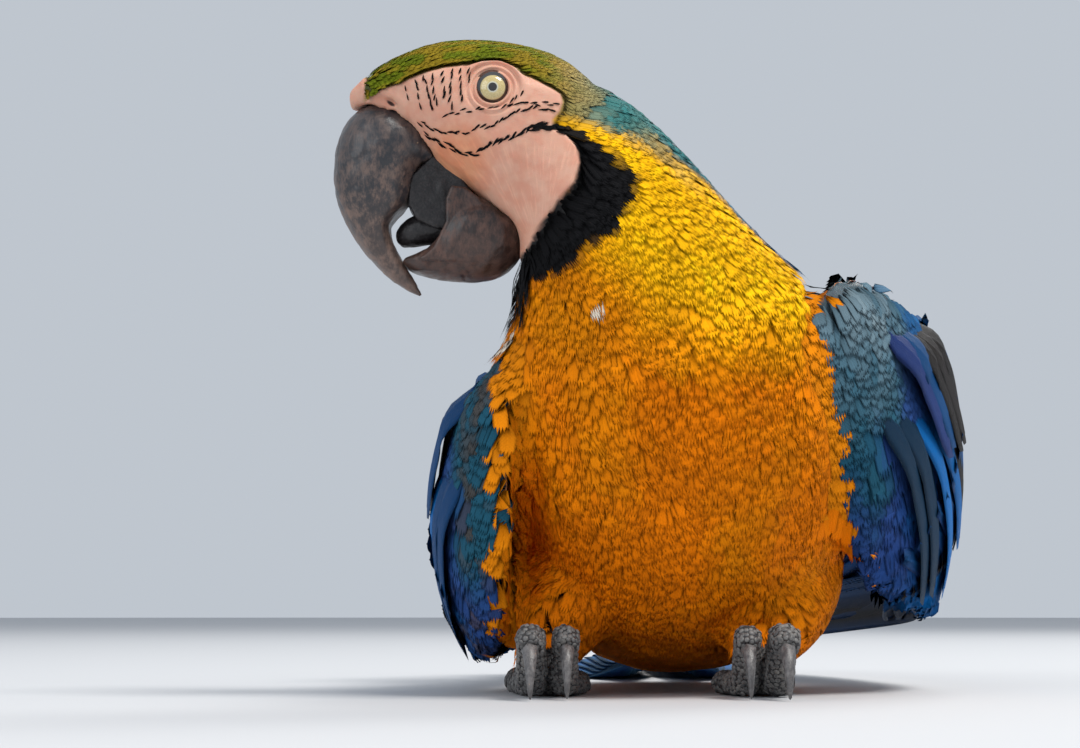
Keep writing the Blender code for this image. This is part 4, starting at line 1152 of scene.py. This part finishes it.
# Two tiers of coverts hang from the forearm and cover the roots of the quills: where the roots
# start and end on the arm, length in metres, half width and height off the arm in millimetres.
COVERT_TIERS = (((0.10, 0.66), (0.84, 0.80), 0.090, 9.6, 1.8), ((0.15, 0.86), (0.80, 0.97), 0.054, 8.6, 3.4))
IN_TIER = 15
ALONG = np.linspace(0.0, 1.0, 10)


def drape(tree, side, start, end, lift):
    """A line from start to end, seen from the wing's side, laid on the wing's outer surface."""
    line, outs = [], []
    for share in ALONG:
        y, z = start + (end - start) * share
        place, out, _, _ = tree.ray_cast(Vector((side * 0.30, y, z)), Vector((-side, 0.0, 0.0)), 0.27)
        if place is None:
            place = (tree.find_nearest(Vector((side * 0.12, y, z)))[0][0], y, z)
            out = outs[-1] if outs else (side, 0.0, 0.0)
        out = np.array(out) if out[0] * side > 0 else -np.array(out)
        line.append(np.array(place))
        outs.append(unit(out + np.array((side, 0.0, 0.0))))
    line, outs = np.array(line), np.array(outs)
    for _ in range(3):
        for values in (line, outs):
            values[1:-1] = (values[:-2] + 2 * values[1:-1] + values[2:]) / 4
    return line + unit(outs) * lift[:, None], unit(outs)


def wing_quills(name, side):
    """All flight feathers and great coverts of one wing."""
    arm_low, arm_high = (np.array(c)[1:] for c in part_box(f"wing_{name}_arm"))
    tree = joined_tree([f"wing_{name}_{part}" for part in ("arm", "primaries", "secondaries", "tertials")])

    def root(first, last, share):
        """A root's place on the arm, back and up, at a share of its row."""
        return arm_low + (arm_high - arm_low) * (np.array(first) + (np.array(last) - np.array(first)) * share)

    made = {row[0]: [] for row in WING_ROWS}
    for row, count, first, last, narrow, wide, off, tip_round in WING_ROWS:
        low, high = (np.array(c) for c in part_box(f"wing_{name}_{row}"))
        vanes = (narrow * MM, wide * MM) if side > 0 else (wide * MM, narrow * MM)
        for number in range(count):
            share = number / (count - 1)
            end = np.array((high[1] - (high[1] - low[1]) * (0.02 + 0.20 * share ** 1.3),
                            low[2] + (high[2] - low[2]) * (0.06 + 0.30 * share)))
            lift = (off + 0.16 * number * np.linspace(0.3, 1.0, 10)) * MM
            line, outs = drape(tree, side, root(first, last, share), end, lift)
            made[row].append(quill(line, outs, *vanes, 0.7 * MM, tip_round, roll_by=-0.05 * side))
    made["great_coverts"] = []
    for tier, (first, last, length, half, off) in enumerate(COVERT_TIERS):
        for number in range(IN_TIER):
            share = number / (IN_TIER - 1)
            start = root(first, last, share)
            lean = 0.42 + 0.50 * share + 0.05 * math.sin(5.0 * number + tier)
            reach = length * (1.0 + 0.07 * math.sin(3.7 * number + 2.0 * tier))
            end = start + reach * np.array((math.sin(lean * math.pi / 2), -math.cos(lean * math.pi / 2)))
            end[1] = max(end[1], 8.0 * MM)
            lift = (-3.2 + (3.2 + off + 0.14 * (number % 3)) * ease(ALONG, 0.0, 0.34)) * MM
            line, outs = drape(tree, side, start, end, lift)
            made["great_coverts"].append(quill(line, outs, half * MM, half * MM, 0.6 * MM, 0.34, 16, 0.16,
                                               0.04 * math.sin(2.3 * number)))
    return made


def quill_colours(ground, edge, rim):
    """A tint that goes from a ground colour at the shaft to an edge colour."""
    def tint(index, flat, places):
        colour = layer(ground, edge, rim * ease(np.abs(flat[:, 0] - 0.5) * 2, 0.35, 1.0))
        return np.clip(colour * (1 + 0.06 * math.sin(7.1 * index)), 0, 1)
    return tint


def covert_colours(index, flat, places):
    """Coverts go from slate and violet at the wrist through a bright blue one to deep blue; the slate is partly
    painted shade, the pale edges and tips painted highlight.
    """
    in_tier = index % IN_TIER
    ground = BLUE * 0.8 if places[:, 0].mean() < 0 and in_tier < 2 else COVERT_TINTS[index]
    # The pale edges and tips, full on two coverts of each tier and faint on all, are painted sunlit highlight.
    edge = ease(np.abs(flat[:, 0] - 0.5) * 2, 0.72, 1.0) * 0.30 + ease(flat[:, 1], 0.90, 1.0) * 0.35
    return layer(ground, SUNLIT_GREY, edge * (in_tier in (5, 6)) + 0.03 * edge)


# First the lower tier from the wrist back, then the upper one.
# The near-black slate coverts stand for dark feather bases and for painted shade where the folded wing lies in
# shadow.
COVERT_TINTS = (NAVY, NAVY, SKY_BLUE, SKY_BLUE * 0.8, SLATE, BLUE, TEAL * 1.6, BLUE * 1.2, BLUE, SKY_BLUE * 0.6,
                BLUE, NAVY * 1.5, BLUE * 1.2, TEAL, BLUE,
                VIOLET * 0.7, BLUE * 0.8, SLATE, SLATE * 1.3, SLATE, SKY_BLUE * 0.7, TEAL * 1.8, BLUE, BLUE * 1.2,
                SKY_BLUE * 0.6, BLUE, BLUE * 0.8, BLUE * 1.3, TEAL, BLUE)
ROW_COLOURS = {"primaries": quill_colours(SLATE, BLUE, 0.9), "secondaries": quill_colours(BLUE, VIOLET, 0.6),
               "tertials": quill_colours(BLUE, TEAL, 0.6), "great_coverts": covert_colours}
for name, side in SIDES.items():
    for row, quills in wing_quills(name, side).items():
        key = f"wing_{name}_{row}_vanes"
        coat[key] = quill_piece(key, quills, ROW_COLOURS[row])

# %% [markdown]
# The tail is twelve long blades, steeply graded, the longest pair on top. Their middle lines are
# read off the solids, row by row, and each becomes a full quill with its own thickness.

# %% Tail feathers
TAIL_BLUE = np.array((0.012, 0.085, 0.300))


def tail_quill(node):
    """A quill on the top of a blade, from its rows of points across: middle, distance back and top."""
    points, _ = mesh_arrays(NODES[node].data)
    backs = np.round(points[:, 1], 4)
    line, half = [], 0.0
    for back in np.unique(backs):
        here = points[backs == back]
        line.append((here[:, 0].mean(), back, here[:, 2].max() - 0.05 * MM))
        half = max(half, (here[:, 0].max() - here[:, 0].min()) / 2)
    return quill(np.array(line), np.tile((0.0, 0.0, 1.0), (len(line), 1)), half, half, 0.8 * MM, 0.55, 40, 0.02)


tail = [tail_quill(f"tail_{name}_{pair}") for pair in range(6, 0, -1) for name in SIDES]
coat["tail_feathers"] = quill_piece("tail_feathers", tail, quill_colours(TAIL_BLUE, TEAL, 0.5))

# %% [markdown]
# The bill is horn that grows from the skin and wears at the edges: black and smooth near the cere,
# brown-grey, scratched and flaked toward the tip. Copies of the solids are remeshed finely, and
# growth steps are raised across them.

# %% Bill, tongue and claws
def fine_piece(name, nodes, voxel, rounds, relief=None, more=()):
    """A finely remeshed copy of solids, with a relief moved along its normals."""
    blocks = list(more)
    if nodes:
        points, quads = shell(name, nodes, voxel, rounds, 0.05 * MM, 2)
        blocks.insert(0, (points, np.concatenate((quads[:, :3], quads[:, (0, 2, 3)]))))
    if more:
        points, quads = shell(name, [], voxel, rounds, more=blocks)
    if relief is not None:
        points = points + normals_of(points, quads) * relief(points)[:, None]
    return piece_from(name, mesh_from(name, points, quads))


def horn_relief(points):
    """Growth steps and shallow flakes of the horn."""
    steps = soft_noise(points, 2.2 * MM, 21, (1.0, 0.3, 1.0))
    return 0.10 * MM * steps + 0.16 * MM * ease(soft_noise(points, 5.0 * MM, 22), 0.1, 0.3)


def lumps(height, size, seed):
    """A relief of soft lumps."""
    return lambda points: height * MM * soft_noise(points, size * MM, seed)


def slab(outline, inner, outer):
    """A flat block; its outline is given back and up from the eye, its two sides from the middle plane."""
    flat = np.array(outline) * MM + EYE[::2]
    count = len(flat)
    points = np.concatenate([np.column_stack((flat[:, 0], np.full(count, FACE_MID + y), flat[:, 1]))
                             for y in (inner, outer)])
    ring = np.arange(count)
    after = np.roll(ring, -1)
    fan = np.column_stack((np.zeros(count - 2, int), ring[1:-1], ring[2:]))
    faces = np.concatenate((fan, fan[:, ::-1] + count, np.column_stack((ring, ring + count, after)),
                            np.column_stack((after, ring + count, after + count))))
    first, second, third = (points[faces[:, corner]] for corner in range(3))
    volume = (first * np.cross(second, third)).sum()
    return points, faces if volume > 0 else faces[:, ::-1]


# The lower bill's cutting walls rise beside the tongue up to the corner of the mouth.
JAW_WALL = ((-2.0, -42.0), (-5.0, -35.5), (-10.0, -32.0), (-14.6, -31.6), (-16.4, -36.0), (-16.6, -44.5),
            (-20.5, -53.0), (-26.0, -57.5), (-14.0, -58.0), (-4.0, -52.0))
WALL_IN, WALL_OUT = 9.6 * MM, 13.2 * MM
# The mouth's dark back wall, between the two bills and above the tongue.
MOUTH = ((-21.0, -20.0), (-29.0, -27.5), (-30.0, -37.0), (-27.0, -42.5), (-20.0, -46.0), (-10.0, -46.0),
         (-6.0, -36.0), (-12.0, -26.0))
MOUTH_HALF = 9.0 * MM
walls = [slab(JAW_WALL, -WALL_OUT, -WALL_IN), slab(JAW_WALL, WALL_IN, WALL_OUT)]
upper_bill = fine_piece("upper_bill_horn", ["upper_bill"], 0.55 * MM, 4, horn_relief)
lower_bill = fine_piece("lower_bill_horn", ["lower_bill"], 0.55 * MM, 8, horn_relief, walls)
tongue = fine_piece("tongue_flesh", ["tongue"], 0.5 * MM, 3, lumps(0.12, 1.2, 23))
mouth = fine_piece("mouth_lining", [], 0.8 * MM, 10, lumps(0.3, 2.5, 24),
                   [slab(MOUTH, -MOUTH_HALF, MOUTH_HALF)])
claws = fine_piece("claws_horn", named("claw"), 0.5 * MM, 1)
print("the upper bill has", len(upper_bill.data.polygons), "quads")

# %% [markdown]
# Toes and shanks are armoured with small domed scales. They could be a cell pattern in the finish, but
# the light should catch real rims, so a tree of geometry nodes sprinkles low domes over a copy of the
# feet's skin, each turned to the surface, and its last nodes make them real and give them their finish.

# %% Scales of the feet
SCALE_SIZES = {"Spacing": 1.55 * MM, "Dome": 1.12 * MM, "Flatness": 0.40, "Vary": 0.25}


def scale_tree(finish_of):
    """Geometry nodes that cover a surface with domed scales; its inputs are named sizes in metres."""
    tree = bpy.data.node_groups.new("foot scales", "GeometryNodeTree")
    face = tree.interface
    face.new_socket("Geometry", in_out="INPUT", socket_type="NodeSocketGeometry")
    for socket, value in SCALE_SIZES.items():
        face.new_socket(socket, in_out="INPUT", socket_type="NodeSocketFloat").default_value = value
    face.new_socket("Geometry", in_out="OUTPUT", socket_type="NodeSocketGeometry")
    given = tree.nodes.new("NodeGroupInput").outputs
    spacing, dome, flatness, vary = (Wire(tree, given[name]) for name in SCALE_SIZES)
    points = node_in(tree, "GeometryNodeDistributePointsOnFaces", {"distribute_method": "POISSON"}, "Points",
                     Mesh=Wire(tree, given["Geometry"]), Distance_Min=spacing, Density_Max=4.0e6, Seed=5)
    turned = Wire(tree, points.socket.node.outputs["Rotation"])
    ball = node_in(tree, "GeometryNodeMeshIcoSphere", Radius=dome, Subdivisions=2)
    wide = node_in(tree, "FunctionNodeRandomValue", None, 1, i2=1.0 - vary, i3=1.0, Seed=6)
    size = node_in(tree, "ShaderNodeCombineXYZ", X=wide, Y=wide, Z=wide * flatness)
    domes = node_in(tree, "GeometryNodeInstanceOnPoints",
                    Points=points, Rotation=turned, Instance=ball, Scale=size)
    real = node_in(tree, "GeometryNodeRealizeInstances", i0=domes)
    smooth = node_in(tree, "GeometryNodeSetShadeSmooth", i0=real)
    dressed = node_in(tree, "GeometryNodeSetMaterial", Geometry=smooth, Material=finish_of)
    tree.links.new(dressed.socket, tree.nodes.new("NodeGroupOutput").inputs[0])
    return tree


def scaled_feet(finish_of):
    """A plain mesh of scales over the feet's skin, made by the tree with its named inputs set."""
    wanted = (region == "foot") & (face_middles[:, 2] > 1.2 * MM)
    used, corners = np.unique(skin_faces[wanted], return_inverse=True)
    ground = piece_from("foot_ground", mesh_from("foot_ground", skin_points[used], corners.reshape(-1, 3)))
    spread = ground.modifiers.new("scales", "NODES")
    spread.node_group = scale_tree(finish_of)
    for item in spread.node_group.interface.items_tree:
        if item.in_out == "INPUT" and item.name in SCALE_SIZES:
            spread[item.identifier] = SCALE_SIZES[item.name]
    mesh = plain_mesh(ground, "foot_scales")
    bpy.data.objects.remove(ground)
    print("the feet have", len(mesh.polygons), "triangles of scales")
    return piece_from("foot_scales", mesh)


# %% [markdown]
# An eye is a ball whose front bulges a little, as a cornea does. The iris is painted on it by its
# finish, and the coat of that finish gives the wet gloss.

# %% Eyes
RINGS, SPOKES = 44, 48


def eyeball(name, side):
    """A closed ball whose pole faces out, with a low bulge for the cornea round the pole."""
    angles = np.linspace(0.0, math.pi, RINGS + 1)[1:-1]
    points = [(0.0, 1.0, 0.0)]
    for angle in angles:
        for turn in [math.tau * spoke / SPOKES for spoke in range(SPOKES)]:
            points.append((math.sin(angle) * math.cos(turn), math.cos(angle), math.sin(angle) * math.sin(turn)))
    points = np.array(points + [(0.0, -1.0, 0.0)])
    bulge = 0.045 * (1 - ease(np.arccos(np.clip(points[:, 1], -1, 1)), 0.45, 0.72))
    points = points * (1 + bulge)[:, None] * BALL * (1.0, side, 1.0)
    faces = []
    last = 1 + (len(angles) - 1) * SPOKES
    for spoke, after in enumerate(np.roll(range(SPOKES), -1)):
        faces += [(0, 1 + after, 1 + spoke), (len(points) - 1, last + spoke, last + after)]
        for ring in range(1, last, SPOKES):
            a, b = ring + spoke, ring + after
            faces += [(a, b, b + SPOKES), (a, b + SPOKES, a + SPOKES)]
    faces = np.array(faces)[:, ::int(side)]
    return piece_from(name + "_ball", mesh_from(name + "_ball", points + middle(name), faces))


eyes = {name: eyeball(f"eye_{name}", math.copysign(1.0, middle(f"eye_{name}")[1] - FACE_MID)) for name in SIDES}
print("an eye is", round(2000 * BALL, 1), "mm across")

# %% Markings on the skin
FOOT_GREY = np.array((0.035, 0.033, 0.035))
skin_colour = body_marking(skin_points)
skin_nearest = np.full(len(skin_points), "", dtype="<U12")
skin_nearest[skin_faces.ravel()] = np.repeat(region, 3)
for name, side in SIDES.items():
    mine = skin_nearest == f"wing_{name}"
    outer = mine & (skin_out[:, 0] * side > -0.10)
    inner = mine & ~outer
    skin_colour[outer] = wing_marking(skin_points[outer], name)
    skin_colour[inner] = np.where(skin_points[inner, 2:] > 0.045, GOLD, BLUE * 0.5)
foot = skin_nearest == "foot"
skin_colour[foot] = FOOT_GREY
# Skin hidden under the coat is painted at 0.45 of its colour: painted shade under the feathers. The bare face and
# the feet keep theirs.
shown = (face_inside(skin_points) > -0.5 * MM) & np.isin(skin_nearest, ("head", "neck")) | foot
keep_on_mesh(skin.data, "tint", skin_colour * np.where(shown, 1.0, 0.45)[:, None])

# %% [markdown]
# Finishes. Feathers are matt with a fine slanting grain of barbs on both sides of the shaft; the
# eye is glass over pale yellow; the horn is satin with scratches; the bare face is soft and lined.

# %% Feather finish
def feather_finish(name, barbs, roughness, soften, root_shade, grain, gloss):
    """Vane colour from the mesh, darker at the root, with barbs as grain in colour and height."""
    look = Finish(name, Specular_IOR_Level=gloss)
    across, along, _ = look.parts(look.node("UVMap", {"uv_map": "vane"}))
    side = (across - 0.5).maths("ABSOLUTE") * 2.0
    barb = ((along * barbs - side * barbs * 0.30) * math.tau).maths("SINE")
    shaft = 1.0 - side.between(0.04, 0.16)
    clump = look.noise(3.0 * MM, 2.0)
    x, y, z = look.parts(look.place())
    strands = look.noise(1.0, 3.0, 0.6, look.joined(across * 7.0 + x * 90.0, along * 1.6 + z * 90.0, y * 90.0))
    tint = look.attribute("tint")
    dark = look.mix(1.0, tint, (root_shade, root_shade, root_shade), "MULTIPLY")
    shade = 1.0 + barb * 0.08 * grain + (clump - 0.5) * 0.14 + (strands - 0.5) * 0.30 + shaft * 0.05
    grey = look.node("CombineColor", Red=shade, Green=shade, Blue=shade)
    colour = look.mix(1.0, look.mix(along.between(0.10, 0.75), dark, tint), grey, "MULTIPLY")
    facing, lie = look.node("NewGeometry", output=1), look.attribute("lie", 1)
    soft = look.node("Mix", {"data_type": "VECTOR"}, 1, i0=soften, i4=facing, i5=lie)
    soft = look.node("VectorMath", {"operation": "NORMALIZE"}, i0=soft)
    height = barb * grain + shaft * 1.2 + strands * 1.5
    return look.paint(colour, roughness + clump * 0.1, height, 0.12 * MM, 0.6, Normal=soft)


down_finish = feather_finish("down and small feathers", 9, 0.68, 0.95, 0.80, 0.25, 0.06)
vane_finish = feather_finish("blue vanes", 60, 0.50, 0.25, 0.75, 0.8, 0.12)


# %% Bare skin, horn, eye, tongue and feet
def length_of(across, up):
    """The length of a flat way, as arithmetic."""
    return (across * across + up * up).maths("SQRT")


def skin_finish():
    """Thin bare skin: rosy patches, pale rays over the cheek, an orange flush at the mouth, fine lines, painted
    shade in the nostril.
    """
    look = Finish("bare skin", Specular_IOR_Level=0.4, Subsurface_Weight=0.12, Subsurface_Scale=0.004)
    x, _, z = look.parts(look.place())
    back, up = (x - float(EYE[0])) / MM, (z - float(EYE[2])) / MM
    lines = look.noise(0.7 * MM, 4.0, 0.6, stretch=(1.0, 1.0, 2.4))
    patches = look.noise(6.0 * MM, 2.0)
    angle = (back - 16.0).maths("ARCTAN2", up + 58.0)
    fan = look.joined(angle * 34.0, length_of(back - 16.0, up + 58.0) * 0.10, 0.0)
    rays = look.noise(1.0, 3.0, 0.6, fan)
    cheek = up.between(-12.0, -24.0)
    tint = look.attribute("tint")
    colour = look.mix(patches.between(0.35, 0.70) * 0.55, tint,
                      look.mix(1.0, tint, (0.92, 0.66, 0.60), "MULTIPLY"))
    pale = look.mix(1.0, colour, (1.20, 1.22, 1.20), "MULTIPLY")
    colour = look.mix(rays.between(0.50, 0.66) * cheek * 0.55, colour, pale)
    corner = length_of(back + 13.0, up + 24.0).between(17.0, 5.0)
    colour = look.mix(corner * 0.75, colour, look.mix(1.0, colour, (1.06, 0.78, 0.52), "MULTIPLY"))
    # The nostril's slit is painted near black: painted shade in the hole.
    slit_x, slit_z = (back - float(NOSTRIL[0] / MM)), (up - float(NOSTRIL[1] / MM))
    along = slit_x * math.cos(SLIT_TILT) + slit_z * math.sin(SLIT_TILT)
    across = slit_z * math.cos(SLIT_TILT) - slit_x * math.sin(SLIT_TILT)
    nostril_shade = (along * along / 5.8 + across * across).between(0.75, 0.15)
    colour = look.mix(nostril_shade, colour, (0.035, 0.014, 0.012))
    return look.paint(colour, lines * 0.2 + 0.42, lines * 0.6 + rays * cheek * 0.9, 0.30 * MM, 0.6)


def horn_finish(name, deep, worn, size, low_at=30.0, low_to=66.0):
    """Dark horn, slate near the cere and brown lower down, with flakes, fine scratches and a few pale chips."""
    look = Finish(name, Specular_IOR_Level=0.5, Coat_Weight=0.12, Coat_Roughness=0.3)
    _, _, z = look.parts(look.place())
    down = (float(EYE[2]) - z) / MM
    scratches = look.noise(size * 0.22, 5.0, 0.7, stretch=(1.0, 1.0, 0.30))
    wear = look.noise(size * 1.1, 5.0, 0.68, stretch=(1.0, 1.0, 0.7))
    broad = look.noise(size * 4.0, 2.0)
    brown = look.mix(down.between(low_at, low_to), deep, tuple(0.45 * c + 0.30 * w for c, w in zip(deep, worn)))
    share = (wear + scratches * 0.5 + broad * 0.4).between(0.80, 1.16) * (0.40 + down.between(10.0, 45.0) * 0.5)
    chips = look.node("TexVoronoi", Vector=look.place(), Scale=1.0 / (size * 1.6))
    chip = chips.between(0.10, 0.05) * broad.between(0.50, 0.62)
    colour = look.mix(chip, look.mix(share, brown, worn), (0.42, 0.27, 0.15))
    return look.paint(colour, share * 0.30 + 0.30, scratches * 0.7 + wear * 0.5, 0.25 * MM, 0.6)


def scale_finish():
    """Dry grey scales, paler on top than between."""
    look = Finish("grey scales", Specular_IOR_Level=0.45)
    tone, dust = look.noise(1.6 * MM, 3.0), look.noise(7.0 * MM, 2.0)
    colour = look.mix(tone.between(0.30, 0.70), (0.055, 0.053, 0.055), (0.16, 0.155, 0.15))
    colour = look.mix(dust.between(0.50, 0.75) * 0.5, colour, (0.30, 0.28, 0.25))
    return look.paint(colour, tone * 0.25 + 0.38, tone, 0.15 * MM, 0.5)


def eye_finish(name):
    """Pale yellow iris round a small pupil, with a dark outer ring."""
    look = Finish("eye " + name, Specular_IOR_Level=0.6, Coat_Weight=1.0, Coat_Roughness=0.02)
    x, _, z = look.parts(look.place())
    centre = middle(f"eye_{name}")
    reach = length_of(x - float(centre[0]), z - float(centre[2])) / MM
    flecks = look.noise(0.35 * MM, 3.0)
    iris = look.mix(flecks.between(0.3, 0.7), (0.62, 0.50, 0.24), (0.46, 0.36, 0.13))
    iris = look.mix(reach.between(2.2, 1.6), iris, (0.55, 0.55, 0.45))
    dark = reach.between(1.60, 1.40) + reach.between(4.1, 4.45)
    return look.paint(look.mix(dark.maths("MINIMUM", 1.0), iris, (0.012, 0.010, 0.010)), 0.15)


def tongue_finish():
    """Moist black skin."""
    look = Finish("moist tongue", Specular_IOR_Level=0.5)
    lumps_of = look.noise(0.8 * MM, 3.0)
    colour = look.mix(lumps_of.between(0.4, 0.7), (0.008, 0.007, 0.008), (0.024, 0.020, 0.021))
    return look.paint(colour, 0.32 + lumps_of * 0.2, lumps_of, 0.3 * MM, 0.7)


upper_horn = horn_finish("bill horn", (0.022, 0.023, 0.028), (0.21, 0.135, 0.105), 3 * MM)
lower_horn = horn_finish("lower bill horn", (0.008, 0.007, 0.008), (0.110, 0.055, 0.040), 3 * MM, 34.0, 60.0)
claw_horn = horn_finish("claw horn", (0.030, 0.029, 0.032), (0.17, 0.16, 0.16), 1.5 * MM, 150.0, 215.0)
moist, scaly = tongue_finish(), scale_finish()
scales = scaled_feet(scaly)

# %% [markdown]
# Every piece rides on the one body, gets its finish and hides the solids that it stands for.

# %% Dress the frame
FLESH = named("belly", "breast", "rump", "neck", "head", "cere", "thigh", "wing_left_arm", "wing_right_arm",
              "tarsus", "toe")


def dress(piece, finish_of, slot, *nodes):
    """Gives a piece its finish and its body, and hides the solids that it replaces; slot is not used."""
    piece.data.materials.clear()
    piece.data.materials.append(finish_of)
    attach(piece, "root")
    if nodes:
        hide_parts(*nodes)


dress(skin, skin_finish(), "bare pink skin", *FLESH)
dress(upper_bill, upper_horn, "black horn", "upper_bill")
dress(lower_bill, lower_horn, "black horn", "lower_bill")
dress(tongue, moist, "black tongue", "tongue")
dress(mouth, moist, "black tongue")
dress(claws, claw_horn, "black horn", *named("claw"))
dress(scales, scaly, "grey scaled skin")
for name in SIDES:
    dress(eyes[name], eye_finish(name), "pale yellow iris", f"eye_{name}")
for key, piece in coat.items():
    if key == "tail_feathers":
        dress(piece, vane_finish, "blue vane", *named("tail"))
    elif key.endswith("_vanes"):
        row = key.removesuffix("_vanes")
        dress(piece, vane_finish, "blue vane", *([row] if row in NODES else []))
    else:
        dress(piece, down_finish, "blue vane" if key.endswith("coverts") else "yellow breast")

# %% [markdown]
# A plain pale floor, soft lights and a camera low in front, a little below the bird's breast.

# %% Floor, light and camera
def stage_floor():
    """A wide plain floor just under the feet."""
    disc = bmesh.new()
    bmesh.ops.create_circle(disc, cap_ends=True, segments=96, radius=9.0)
    mesh = bpy.data.meshes.new("floor")
    disc.to_mesh(mesh)
    disc.free()
    look = Finish("pale floor", Roughness=0.9, Base_Color=(0.52, 0.53, 0.55, 1.0))
    mesh.materials.append(look.material)
    floor = piece_from("floor", mesh)
    floor.location.z = -0.2 * MM


def soft_light(name, place, size, power, colour):
    """A square lamp that faces the bird."""
    lamp = bpy.data.lights.new(name, "AREA")
    lamp.shape, lamp.size, lamp.energy, lamp.color = "SQUARE", size, power, colour
    holder = piece_from(name, lamp)
    holder.location = place
    toward = Vector(middle("breast")) - Vector(place)
    holder.rotation_euler = toward.to_track_quat("-Z", "Y").to_euler()


stage_floor()
soft_light("key", (0.95, -1.05, 2.3), 0.9, 58.0, (1.0, 0.97, 0.92))
soft_light("fill", (-1.7, -1.6, 1.0), 1.6, 15.0, (0.96, 0.98, 1.0))
soft_light("rim", (0.9, 1.3, 1.9), 1.0, 26.0, (1.0, 0.98, 0.94))
scene = bpy.context.scene
scene.world = bpy.data.worlds.new("pale room")
scene.world.use_nodes = True
sky = scene.world.node_tree.nodes["Background"].inputs
sky[0].default_value, sky[1].default_value = (0.84, 0.91, 1.0, 1.0), 0.62
scene.view_settings.view_transform = "Standard"

CAMERA_FROM_EYE = np.array((0.0162, -0.8155, -0.1783))
CAMERA_RISE = math.atan(0.1) - 0.0015
camera = piece_from("camera", bpy.data.cameras.new("camera"))
camera.data.lens, camera.data.sensor_width = 80.0, 36.0
camera.location = EYE + CAMERA_FROM_EYE
camera.rotation_euler = (math.radians(90) + CAMERA_RISE, 0.0, 0.0)
scene.camera = camera
print("the camera stands", round(camera.location.z, 3), "m over the floor")
